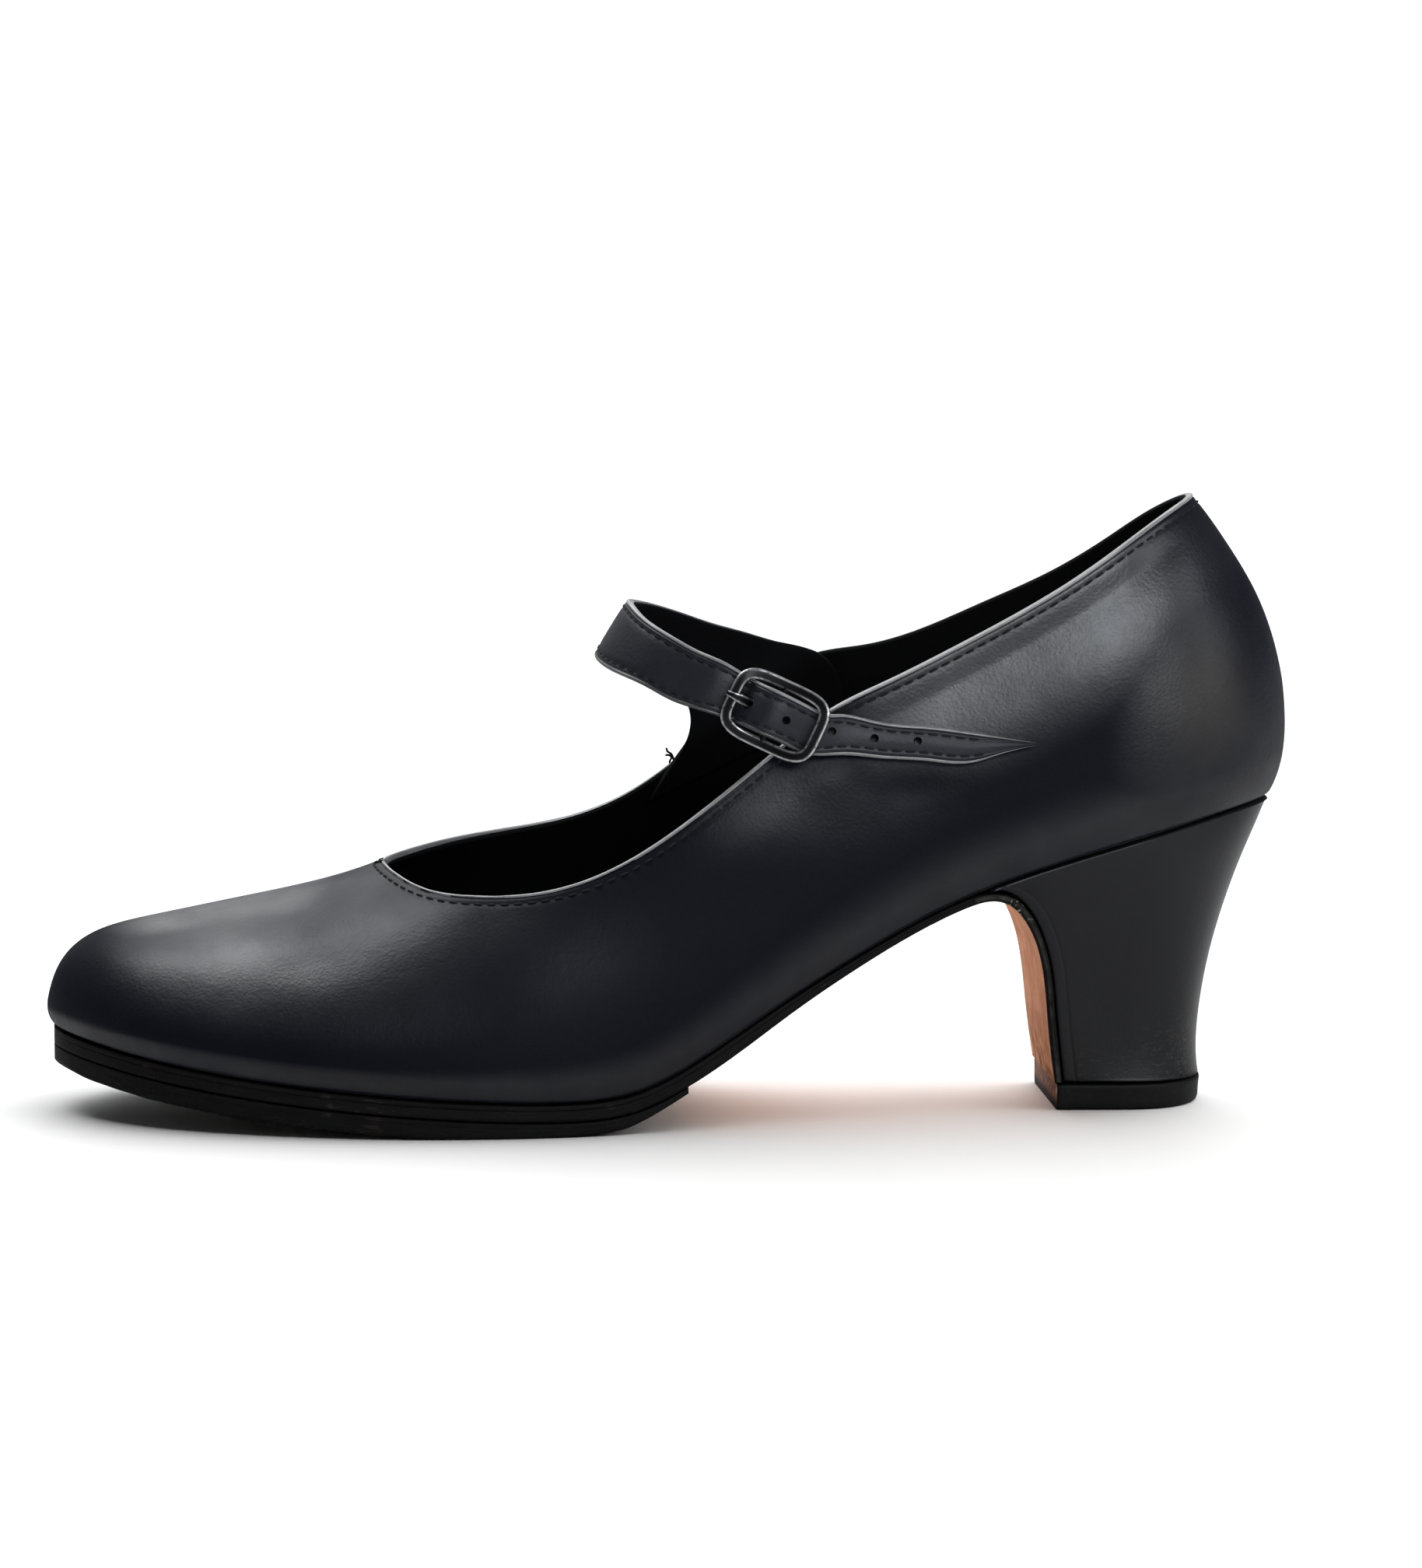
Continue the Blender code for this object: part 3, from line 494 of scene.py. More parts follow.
leather, tint, rough, relief = calf("upper_calf", (0.0017, 0.0022, 0.0068), (0.0028, 0.0036, 0.0090), 0.66)
brushed = leather.layer("polish") * (0.58 + 0.6 * leather.noise(9.0, 3.0))
counter_bloom = leather.near((101, -20, 81), 1, 17)
tint = leather.blend(0.5 * counter_bloom, tint, (0.040, 0.034, 0.027))
relief = 1.7 * relief + 0.06 * leather.noise(4.0, 3.0)
leather.surface(base_color=tint, roughness=rough, height=relief, specular_ior_level=0.06)
upper_calf = leather.over(
    brushed, base_color=tint, roughness=rough - 0.25, height=relief, specular_ior_level=0.45
)

leather, tint, rough, relief = calf("strap_calf", (0.0072, 0.0092, 0.0160), (0.0112, 0.0135, 0.0215), 0.50)
strap_calf = leather.surface(base_color=tint, roughness=rough, height=1.5 * relief, specular_ior_level=0.2)
print("finishes:", upper_calf.name, strap_calf.name)

# %% [markdown]
# ## The pale edge and the lining
# Along the topline and the strap the leather is cut, turned and rubbed to a pale grey edge. That grey
# is partly the edge's own colour and partly a painted highlight of the light on the bead. It is a thin
# bead, less than a millimetre, and it draws the shoe's whole outline. The lining inside is
# black and dull, so the foot's place reads as a dark hollow.

# %% Edge and lining finishes
# The pale grey of this finish is the rubbed edge's colour and a painted highlight together.
edge = Finish("rubbed_edge_and_highlight")
dye = edge.noise(0.8, 3.0).between(0.62, 0.8)
shade = edge.noise(6.0, 2.0)
tone = edge.blend(shade.between(0.3, 0.7), (0.17, 0.17, 0.18), (0.27, 0.27, 0.28))
tone = edge.blend(0.8 * dye, tone, (0.06, 0.06, 0.065))
tone = edge.blend(edge.layer("pale"), (0.004, 0.0042, 0.0055), tone)
rubbed_edge_and_highlight = edge.surface(
    base_color=tone, roughness=0.38 + 0.15 * shade, height=0.02 * edge.noise(0.3, 2.0), coat_weight=0.2
)

lined = Finish("lining_leather")
nap = lined.noise(0.35, 3.0)
soft = lined.blend(lined.noise(12.0, 3.0), (0.0016, 0.0018, 0.0026), (0.0034, 0.0036, 0.0046))
lining_leather = lined.surface(
    base_color=soft, roughness=0.78 + 0.12 * nap, height=0.03 * nap + 0.02 * lined.cells(0.6),
    specular_ior_level=0.05,
)
print("finishes:", rubbed_edge_and_highlight.name, lining_leather.name)

# %% [markdown]
# ## The upper
# One piece of leather is drawn over the last from toe to back. The wall is a grid of stations and rows,
# with rows close together at the topline and at the feather line, where the small forms are: the bead,
# the stitched groove, the tuck into the sole. A subdivided cage could not hold those lines so exactly.

# %% Rows down the wall
MIDDLE_ROWS = 32
TOP_ROWS = (0, 0.12, 0.26, 0.4, 0.52, 0.64, 0.9, 1.4, 1.8, 2.0, 2.2, 2.6, 3.4, 4.4, 5.2, 5.7, 6.2, 6.7, 7.4,
            8.6, 10.2, 12)
FOOT_ROWS = (4.0, 2.5, 1.6, 1.0, 0.6, 0.35, 0.15, 0.0)
FULL_WALL, FINE_ROWS = 40.0, 160
ROWS = len(TOP_ROWS) + MIDDLE_ROWS + len(FOOT_ROWS)


def wall_rows(x, side):
    """Points down the wall from the topline to the feather line, and their distance up from the latter."""
    t = np.linspace(topline_share(x, side), 0.0, FINE_ROWS)
    run = run_along(wall(x, side)(t))
    shrink = min(1.0, run[-1] / FULL_WALL)
    down = [shrink * d for d in TOP_ROWS]
    down += list(np.linspace(down[-1], run[-1] - shrink * FOOT_ROWS[0], MIDDLE_ROWS + 2)[1:-1])
    down += [run[-1] - shrink * d for d in FOOT_ROWS]
    return wall(x, side)(np.interp(down, run, t)), run[-1] - np.array(down)


print("rows down each side:", ROWS)

# %% The skin as points
VAMP_STATIONS, QUARTER_STATIONS = 84, 176


def cosine_spaced(low, high, count):
    """Stations from low to high, closer together at both ends."""
    return [low + (high - low) * (1 - math.cos(math.pi * i / (count - 1))) / 2 for i in range(count)]


stations = cosine_spaced(TOE_X, THROAT_X, VAMP_STATIONS)
stations += cosine_spaced(THROAT_X, HEEL_X, QUARTER_STATIONS)[1:]
THROAT, BACK = VAMP_STATIONS - 1, len(stations) - 1
index = np.zeros((len(stations), 2, ROWS), int)
skin, foot_distance = [], []
for i, x in enumerate(stations):
    for s, side in enumerate((LATERAL, MEDIAL)):
        line, up = wall_rows(x, side)
        for j in range(ROWS):
            if s == 1 and (i in (0, BACK) or (i <= THROAT and j == 0)):
                index[i, s, j] = index[i, 0, j]
                continue
            index[i, s, j] = len(skin)
            skin.append(line[j])
            foot_distance.append(up[j])
skin, foot_distance = np.array(skin), np.array(foot_distance)
print("upper skin:", len(skin), "points on", len(stations), "stations")

# %% Faces and normals of the skin
def wall_faces(grid):
    """Faces of a grid of stations, sides and rows, looking outward."""
    quads = []
    for s in (0, 1):
        g = grid[:, s]
        around = (g[:-1, :-1], g[:-1, 1:], g[1:, 1:], g[1:, :-1])
        quads.append(np.stack(around if s == 0 else around[::-1], -1).reshape(-1, 4))
    return np.concatenate(quads)


def point_normals(points, quads):
    """The way out at each point, from the faces round it."""
    across = np.cross(points[quads[:, 2]] - points[quads[:, 0]], points[quads[:, 3]] - points[quads[:, 1]])
    total = np.zeros_like(points)
    for k in range(4):
        np.add.at(total, quads[:, k], across)
    return total / np.maximum(np.linalg.norm(total, axis=1, keepdims=True), 1e-12)


skin_faces = wall_faces(index)
normals = point_normals(skin, skin_faces)
outer_side = index[VAMP_STATIONS, 0, ROWS // 2]
if normals[outer_side][1] > 0:
    skin_faces, normals = skin_faces[:, ::-1], -normals
print("upper skin:", len(skin_faces), "faces")

# %% The way to the topline
RIM_SAMPLES = 6000
rim_line = np.concatenate([index[BACK:THROAT:-1, 0, 0], index[THROAT:BACK + 1, 1, 0]])
rim_points = skin[rim_line]
sampled = np.linspace(0, len(rim_points) - 1, RIM_SAMPLES)
tree = KDTree(RIM_SAMPLES)
for k, point in enumerate(straight_path(sampled, np.arange(len(rim_points)), rim_points)):
    tree.insert(point, k)
tree.balance()
rim_distance = np.array([tree.find(point)[2] for point in skin])
print("topline:", round(float(run_along(rim_points)[-1])), "mm long")

# %% [markdown]
# ## Creases one by one
# Worn leather keeps the marks of its foot. Each crease is a short line in side view with a width and a
# depth: a soft ridge under the buckle where the strap pulls, troughs across the ball where the foot
# bends, a slack under the strap's tail. A noise could wrinkle everything at once, but a real shoe
# creases only where it moves.

# %% Creases
Crease = namedtuple("Crease", "side from_x from_z to_x to_z width depth")
CREASES = [Crease(*row) for row in (
    (LATERAL, 23, 68, 36, 64, 4.5, 0.60),
    (LATERAL, 16, 71, 22, 67, 3.0, -0.30),
    (LATERAL, 39, 66, 53, 65, 4.5, -0.55),
    (LATERAL, -2, 38, 29, 54, 6.5, -0.40),
    (LATERAL, -8, 44, 20, 62, 6.0, 0.22),
    (LATERAL, -48, 33, -37, 19, 7.0, -0.09),
    (LATERAL, -36, 35, -25, 20, 7.0, -0.08),
    (LATERAL, 66, 70, 92, 66, 10.0, -0.22),
    (MEDIAL, -46, 36, -32, 18, 5.0, -0.28),
    (MEDIAL, -34, 38, -20, 20, 4.5, -0.24),
    (MEDIAL, -40, 37, -26, 19, 4.0, 0.16),
    (MEDIAL, 4, 50, 30, 60, 7.0, -0.30),
    (MEDIAL, 40, 70, 70, 74, 9.0, -0.22),
)]
CREASE_ENDS = 0.35


def crease_height(points, side):
    """The creases of one side at points seen from the side."""
    height = np.zeros(len(points))
    for c in (c for c in CREASES if c.side == side):
        start, end = np.array((c.from_x, c.from_z)), np.array((c.to_x, c.to_z))
        away = points[:, (0, 2)] - start
        share = np.clip(away @ (end - start) / ((end - start) @ (end - start)), 0, 1)
        gap = np.linalg.norm(away - share[:, None] * (end - start), axis=1)
        fade = CREASE_ENDS + (1 - CREASE_ENDS) * np.sin(np.pi * np.clip(share, 0.05, 0.95))
        height += c.depth * fade * np.exp(-((gap / c.width) ** 2))
    return height


print("creases:", sum(c.side == LATERAL for c in CREASES), "of", len(CREASES), "are on the outer side")

# %% Relief of the whole wall
FLARE_SLOPE, FLARE_BAND, FLARE_SOFT = 0.25, 6.2, 0.3
ROLL_SLOPE, ROLL_BAND, ROLL_SOFT = 0.12, 17.0, 14.0
SLOW_WAVE, QUICK_WAVE, CALM_RIM = 0.07, 0.05, 0.3


def soft_ramp(rise, softness):
    """Zero below, rising steadily above, with a rounded bend between."""
    return 0.5 * (rise + np.sqrt(rise * rise + softness))


def form_relief(points, to_rim):
    """What the whole wall does: creases, slow waves, and the collar turning upright near its edge."""
    x, y, z = points.T
    side = np.where(y < crown_y(x), LATERAL, MEDIAL)
    height = np.where(side == LATERAL, crease_height(points, LATERAL), crease_height(points, MEDIAL))
    height += SLOW_WAVE * np.sin(x / 9.1 + z / 6.3) * np.sin(z / 7.7 - x / 15.3 + 1.0)
    height += QUICK_WAVE * np.sin(x / 4.7 - z / 5.9 + 0.6 * np.sin(y / 8))
    calm = smooth_step(to_rim, 0.5, 12) * (1 - CALM_RIM) + CALM_RIM
    flare = FLARE_SLOPE * soft_ramp(FLARE_BAND - to_rim, FLARE_SOFT)
    roll = ROLL_SLOPE * soft_ramp(ROLL_BAND - to_rim, ROLL_SOFT)
    return height * calm + (flare - roll) * smooth_step(x, 30, 56) * (1 - smooth_step(x, 90, 104))


form = form_relief(skin, rim_distance)
print("relief from", round(float(form.min()), 2), "to", round(float(form.max()), 2), "mm")

# %% Relief of the outer face
STITCH_IN, STITCH_TROUGH, TROUGH_WIDTH = 2.0, 0.11, 0.4
BEAD, BEAD_PROUD, BEAD_GROOVE, GROOVE_AWAY, GROOVE_WIDTH = 0.52, 0.2, 0.14, 0.12, 0.13
FEATHER_TUCK, FEATHER_BAND, BACK_SEAM, SEAM_WIDTH = 0.5, 1.1, 0.22, 0.55


def skin_relief(points, to_rim, to_foot):
    """What only the outer face has: bead, groove, stitched trough, tuck at the sole, seam at the back."""
    x, y, _ = points.T
    height = BEAD_PROUD * np.sqrt(np.clip(1 - ((to_rim - BEAD / 2) / (BEAD / 2)) ** 2, 0, 1))
    height -= BEAD_GROOVE * np.exp(-(((to_rim - BEAD - GROOVE_AWAY) / GROOVE_WIDTH) ** 2))
    height -= STITCH_TROUGH * np.exp(-(((to_rim - STITCH_IN) / TROUGH_WIDTH) ** 2))
    height -= FEATHER_TUCK * np.clip(1 - to_foot / FEATHER_BAND, 0, 1) ** 2
    behind = smooth_step(x, 70, 88)
    return height - BACK_SEAM * behind * np.exp(-((y / SEAM_WIDTH) ** 2)) * smooth_step(to_rim, 1.2, 3)


fine = skin_relief(skin, rim_distance, foot_distance)
outer = skin + normals * (form + fine)[:, None]
inner = skin + normals * (form - WALL)[:, None]
print("bead and grooves from", round(float(fine.min()), 2), "to", round(float(fine.max()), 2), "mm")

# %% [markdown]
# ## Where the brush has been
# A brush polishes what is stiff and stands out: the ridge and cheeks of the toe, the roll of leather over
# the sole, the quarter under the collar and the counter. Each zone is a value from 0 to 1 on the points,
# and the leather shows the strongest of them. The slack leather under the strap's tail stays dull. A
# mask painted by hand would do as well, but a zone made of numbers can be moved.

# %% Polish on the skin
SLACK = 0.9


def soft_spot(strength, *axes):
    """A soft spot; each axis gives the values of all points, the spot's middle and its spread."""
    return strength * np.exp(-sum(((values - middle) / spread) ** 2 for values, middle, spread in axes))


along, height, up = skin[:, 0], skin[:, 2], normals[:, 2]
facing_up, facing_down = smooth_step(up, 0.22, 0.56), smooth_step(-up, -0.05, 0.18)
ridge = smooth_step(up, 0.86, 0.98) * (1 - smooth_step(along, -74, -56))
cheek = (0.42 + soft_spot(0.28, (along, -84, 9))) * (1 - smooth_step(along, -62, -26))
polished = {
    "toe": facing_up * smooth_step(along, -112, -98) * np.maximum(cheek, ridge),
    "side of the toe": soft_spot(0.75, (up, 0.68, 0.13), (along, -70, 17)),
    "beside the throat": soft_spot(0.2, (along, -29, 15), (height, 37, 9)),
    "over the sole": 0.7 * facing_down * (1 - smooth_step(along, -52, -12)),
    "waist": 0.6 * facing_down,
    "below the buckle": soft_spot(0.34, (along, 22, 20), (height, 63, 7)),
    "quarter": smooth_step(along, 30, 54) * (1 - smooth_step(rim_distance, 9, 28)),
    "counter": 0.5 * smooth_step(along, 82, 98),
}
skin_polish = np.max(list(polished.values()), axis=0)
skin_polish *= 1 - soft_spot(SLACK, (along, 46, 15), (height, 65.5, 3.6))
print("polished zones:", {zone: f"{100 * float(share.mean()):.0f} %" for zone, share in polished.items()})

# %% [markdown]
# ## Rim, inside and foot of the upper
# The shell is closed: the outer face turns over a rounded rim at the topline, comes down as the lining,
# and closes along the feather line, where the sole covers it. A modifier could give the wall its
# thickness, but not a rim with a shape and a finish of its own.

# %% Rim of the shell
RIM = ((-0.2, 0.18), (-0.6, 0.34), (-1.0, 0.36), (-1.4, 0.27), (-1.7, 0.08))
BELOW_RIM = 6


def rim_frame(i, s):
    """The topline at a station: its point, the wall's outward normal and the way up out of the wall."""
    line = index[max(THROAT, i - 1) : i + 2, s, 0]
    along = skin[line[-1]] - skin[line[0]]
    if i in (THROAT, BACK):
        along = np.array((0.0, 1.0, 0.0))
    top, normal = index[i, s, 0], normals[index[i, s, 0]]
    up = unit(np.cross(normal, along))
    right_way = up[0] if i == THROAT else up @ (skin[top] - skin[index[i, s, BELOW_RIM]])
    return top, normal, (-up if right_way < 0 else up)


rim_index = np.zeros((len(stations), 2, len(RIM)), int)
rim_made = []
base = 2 * len(skin)
for i in range(THROAT, BACK + 1):
    for s in (0, 1):
        if s == 1 and i in (THROAT, BACK):
            rim_index[i, 1] = rim_index[i, 0]
            continue
        top, normal, up = rim_frame(i, s)
        for r, (out, high) in enumerate(RIM):
            rim_index[i, s, r] = base + len(rim_made)
            rim_made.append(skin[top] + normal * (out + form[top]) + up * high)
rim_grid = np.concatenate([index[:, :, :1], rim_index, index[:, :, :1] + len(skin)], axis=2)[THROAT:]
rim_faces = wall_faces(rim_grid)
print("rim:", len(rim_made), "points,", len(rim_faces), "faces")

# %% The closed shell
SKIN_ZONE, EDGE_ZONE, LINING_ZONE = 0, 1, 2
RIM_PALE = 0.35
inner_faces = skin_faces[:, ::-1] + len(skin)
loop = np.concatenate([index[:, 0, -1], index[BACK - 1 : 0 : -1, 1, -1]])
foot_faces = np.stack([loop, np.roll(loop, -1), np.roll(loop, -1) + len(skin), loop + len(skin)], -1)
faces = np.concatenate([skin_faces, rim_faces, inner_faces, foot_faces])
pale_rows = rim_distance[skin_faces].mean(1) < BEAD
rim_half = [EDGE_ZONE] * 3 + [LINING_ZONE] * 3
zones = np.concatenate([
    np.where(pale_rows, EDGE_ZONE, SKIN_ZONE), np.tile(rim_half, len(rim_faces) // len(rim_half)),
    np.full(len(inner_faces), LINING_ZONE), np.full(len(foot_faces), SKIN_ZONE),
])
pale = np.concatenate([np.ones(2 * len(skin)), np.full(len(rim_made), RIM_PALE)])
polish = np.concatenate([skin_polish, np.zeros(len(skin) + len(rim_made))])
piece("upper_shell", np.concatenate([outer, inner, np.array(rim_made)]), faces,
      [upper_calf, rubbed_edge_and_highlight, lining_leather], "upper", zones,
      {"pale": pale, "polish": polish}, sharp=60)
skin_tree = BVHTree.FromPolygons(outer.tolist(), skin_faces.tolist())

# %% [markdown]
# ## Thread
# A seam is a row of short threads that dive into the leather at both ends. Each stitch is a small bent
# capsule laid along a line on the skin. Thousands of instances would do the same; one joined mesh for
# each seam keeps the scene plain.

# %% Thread
thread = Finish("black_thread")
twist = thread.noise(0.25, 2.0)
black_thread = thread.surface(
    base_color=thread.blend(twist, (0.0045, 0.0048, 0.0062), (0.011, 0.0115, 0.0145)),
    roughness=0.6 + 0.2 * twist, height=0.03 * twist, specular_ior_level=0.12,
)
print("finish:", black_thread.name)

# %% A row of stitches
STITCH, STITCH_GAP, THREAD = 2.1, 0.55, 0.23
STITCH_SIDES, STITCH_RINGS, STITCH_STEP = 6, 7, 0.05
THIN_END, LIFT, DIVE = 0.35, 0.55, 1.3


def even_line(points, normal, step):
    """Points and normals along a line at even steps."""
    run = run_along(points)
    at = np.arange(0, run[-1], step)
    return straight_path(at, run, points), unit(straight_path(at, run, normal))


def stitches(line, normal, radius=THREAD):
    """Points and faces of a row of stitches along a line on the leather."""
    fine, out = even_line(line, normal, STITCH_STEP)
    pitch, length = round((STITCH + STITCH_GAP) / STITCH_STEP), round(STITCH / STITCH_STEP)
    angles = 2 * math.pi * np.arange(STITCH_SIDES) / STITCH_SIDES
    made = []
    for first in range(0, len(fine) - length - 1, pitch):
        rings = []
        for share in np.linspace(0, 1, STITCH_RINGS):
            at = first + round(share * length)
            along = fine[min(at + 1, len(fine) - 1)] - fine[at - 1 if at else 0]
            side = unit(np.cross(out[at], along))
            to_end = (2 * share - 1) ** 4
            fat = radius * (THIN_END + (1 - THIN_END) * math.sqrt(max(0.0, 1 - to_end)))
            lift = radius * (LIFT - DIVE * to_end)
            around = np.cos(angles)[:, None] * side + np.sin(angles)[:, None] * out[at]
            rings.append(fine[at] + out[at] * lift + fat * around)
        made.append(lofted(rings))
    return joined(made)


print("stitches to 100 mm:", int(100 / (STITCH + STITCH_GAP)))

# %% The seam below the topline
seam_line, seam_normal = [], []
for s, order in ((0, range(BACK, THROAT, -1)), (1, range(THROAT, BACK + 1))):
    for i in order:
        top, _, up = rim_frame(i, s)
        spot, out, _, _ = skin_tree.find_nearest(Vector(outer[top] - up * STITCH_IN))
        seam_line.append(tuple(spot))
        seam_normal.append(tuple(out))
points, faces = stitches(np.array(seam_line), np.array(seam_normal))
piece("topline_stitches", points, faces, [black_thread])

# %% [markdown]
# ## The instep strap
# The strap is sewn inside the inner wall, crosses the instep, weaves through the buckle and ends in a
# point on the outer wall. Front and rear edges are drawn as two smooth lines, and one profile is carried
# along them: pale beaded edges, a stitched groove on each side and a soft pillow between. One curve with
# a bevel could twist as it liked; two edge lines say where each edge lies.

# %% Lines of the strap and the buckle's own frame
INSIDE, FREE, OUTSIDE = "inside", "free", "outside"
Band = namedtuple("Band", "front_x front_z rear_x rear_z y lay")
STRAP_ROOT = [Band(*row) for row in (
    (-1.6, 57.0, 37.0, 76.0, None, INSIDE), (1.9, 63.0, 36.0, 81.8, None, INSIDE),
    (5.3, 68.5, 31.6, 86.7, None, INSIDE), (6.5, 73.7, 24.0, 88.7, 19.6, FREE),
    (5.0, 78.6, 16.8, 90.8, 19.8, FREE), (3.2, 81.8, 11.2, 92.4, 19.0, FREE),
    (-0.4, 83.9, 6.0, 94.3, 17.4, FREE), (-4.7, 85.5, 1.4, 96.0, 14.8, FREE),
    (-8.5, 86.7, -2.4, 97.3, 11.0, FREE), (-11.4, 87.6, -4.9, 98.1, 6.6, FREE),
    (-12.8, 87.9, -6.2, 98.6, 1.8, FREE), (-13.2, 87.5, -6.5, 98.5, -3.0, FREE),
    (-12.7, 86.9, -6.0, 97.8, -7.8, FREE), (-11.1, 86.1, -4.7, 96.5, -12.6, FREE),
    (-8.3, 85.1, -2.3, 94.9, -16.8, FREE), (-4.7, 83.6, 1.2, 92.9, -20.2, FREE),
    (-0.2, 81.3, 5.3, 90.8, -23.0, FREE),
)]
Weave = namedtuple("Weave", "along out half_width")
STRAP_WEAVE = [Weave(*row) for row in (
    (-12.0, -0.5, 5.1), (-8.5, -1.0, 4.7), (-4.6, 1.0, 4.5),
    (0.0, 2.8, 4.5), (4.6, 1.0, 4.4), (8.5, -1.0, 4.4),
)]
STRAP_TAIL = [Band(*row, None, OUTSIDE) for row in (
    (31.5, 71.3, 32.4, 79.0), (39.0, 70.6, 39.6, 77.4), (48.0, 70.0, 48.5, 76.5),
    (56.6, 69.5, 57.2, 75.3), (62.6, 71.2, 63.0, 74.3), (69.0, 72.7, 69.1, 73.3),
)]
STRAP, STRAP_CLEAR, CHAPE = 1.6, 0.3, 0.7
BUCKLE_CENTRE = Vector((18.8, -29.3, 79.2))
BUCKLE_SLOPE, BUCKLE_YAW, BUCKLE_ROLL = math.radians(24), math.radians(15), math.radians(10)
CROWN_ROW = 11
print("strap drawn by", len(STRAP_ROOT), "+", len(STRAP_WEAVE), "+", len(STRAP_TAIL), "rows")

# %% From the tables to the strap's two edges
def buckle_axes():
    """The buckle's own frame: along the strap, across it and out from the foot."""
    turned = Matrix.Rotation(-BUCKLE_YAW, 3, "Z") @ Matrix.Rotation(BUCKLE_SLOPE, 3, "Y")
    along, across = turned @ Vector((1, 0, 0)), turned @ Vector((0, 0, 1))
    across = Matrix.Rotation(-BUCKLE_ROLL, 3, along) @ across
    return along, across, along.cross(across)


def buckle_point(along, across, out):
    """A point given in the buckle's own frame."""
    axes = buckle_axes()
    return np.array(BUCKLE_CENTRE + axes[0] * along + axes[1] * across + axes[2] * out)


def wall_row(places, side, stand_off):
    """Points laid on the wall at places in side view, standing off it by a distance."""
    return [(x, wall_y(x, z, side, stand_off), z) for x, z in places]


def strap_rows():
    """Front and rear edge points of the strap, one pair for each row of its tables."""
    rows = []
    for row in STRAP_ROOT:
        places = [(row.front_x, row.front_z), (row.rear_x, row.rear_z)]
        ends = [(x, row.y, z) for x, z in places]
        if row.lay == INSIDE:
            ends = wall_row(places, MEDIAL, -(WALL + GAP + STRAP / 2 + STRAP_CLEAR))
        rows.append((*ends[0], *ends[1]))
    for row in STRAP_WEAVE:
        ends = [buckle_point(row.along, side * row.half_width, row.out) for side in (-1, 1)]
        rows.append((*ends[0], *ends[1]))
    for i, row in enumerate(STRAP_TAIL):
        stand = STRAP / 2 + GAP + STRAP_CLEAR + (CHAPE if i == 0 else 0)
        ends = wall_row([(row.front_x, row.front_z), (row.rear_x, row.rear_z)], LATERAL, stand)
        rows.append((*ends[0], *ends[1]))
    return rows


strap_line, strap_knots = smooth_path(strap_rows())
TAIL_STARTS, CROWN_SHARE = float(strap_knots[-len(STRAP_TAIL)]), float(strap_knots[CROWN_ROW])
print("strap tail starts at", round(TAIL_STARTS, 2), "of its length")

# %% The strap's profile
Edge = namedtuple("Edge", "inset out pale")
STRAP_EDGE = [Edge(*row) for row in (
    (3.2, 0.93, 0), (2.4, 0.88, 0), (2.0, 0.79, 0), (1.75, 0.72, 0), (1.5, 0.72, 0), (1.25, 0.80, 0),
    (1.0, 0.80, 0), (0.84, 0.68, 0), (0.7, 0.72, 0), (0.58, 0.84, 1), (0.4, 0.88, 1), (0.2, 0.80, 1),
    (0.06, 0.58, 1), (0.0, 0.25, 1), (0.12, 0.02, 1), (0.02, -0.2, 1), (0.06, -0.5, 1), (0.25, -0.72, 0),
    (0.7, -0.8, 0), (1.8, -0.8, 0),
)]
STRAP_STEPS, NARROW, PILLOW, UNDERSIDE = 320, 3.6, 0.97, -0.7


def band_frames(line, steps):
    """Middle, half width and unit vectors across and out along a band between two edge lines."""
    rows = line(np.linspace(0, 1, steps + 1))
    front, rear = rows[:, :3], rows[:, 3:]
    middle, across = (front + rear) / 2, rear - front
    half = np.linalg.norm(across, axis=1) / 2
    across = across / (2 * half[:, None])
    return middle, half, across, unit(np.cross(np.gradient(middle, axis=0), across))


def strap_ring(middle, half, across, out):
    """The strap's outline in section, from the front edge over its outer face and back underneath."""
    shrink = min(1.0, half / NARROW)
    ring = [(-half + e.inset * shrink, e.out) for e in STRAP_EDGE]
    ring = ring[::-1] + [(0.0, PILLOW)] + [(-a, o) for a, o in ring] + [(0.0, -STRAP / 2)]
    return np.array([middle + across * a + out * o for a, o in ring])


frames = band_frames(strap_line, STRAP_STEPS)
points, faces = lofted([strap_ring(*row) for row in zip(*frames)])
print("strap:", round(float(run_along(frames[0])[-1])), "mm long")

# %% The strap's zones and pale edges
SEWN_SHARE = 0.12
marks = [e.pale for e in STRAP_EDGE]
marks = marks[::-1] + [0] + marks + [0]
under = [e.out < UNDERSIDE for e in STRAP_EDGE]
under = under[::-1] + [False] + under + [True]
zone_row = []
for j in range(len(marks)):
    k = (j + 1) % len(marks)
    face_zone = EDGE_ZONE if marks[j] and marks[k] else SKIN_ZONE
    zone_row.append(LINING_ZONE if under[j] and under[k] else face_zone)
zones = np.tile(zone_row, (STRAP_STEPS, 1))
zones[np.linspace(0, 1, STRAP_STEPS) < SEWN_SHARE] = LINING_ZONE
zones = np.concatenate([zones.ravel(), [SKIN_ZONE, SKIN_ZONE]])
share = np.repeat(np.linspace(0, 1, STRAP_STEPS + 1), len(marks))
rear = np.tile(np.arange(len(marks)) > len(STRAP_EDGE), STRAP_STEPS + 1)
seen = smooth_step(share, CROWN_SHARE - 0.03, CROWN_SHARE + 0.02)
tail = smooth_step(share, TAIL_STARTS - 0.04, TAIL_STARTS)
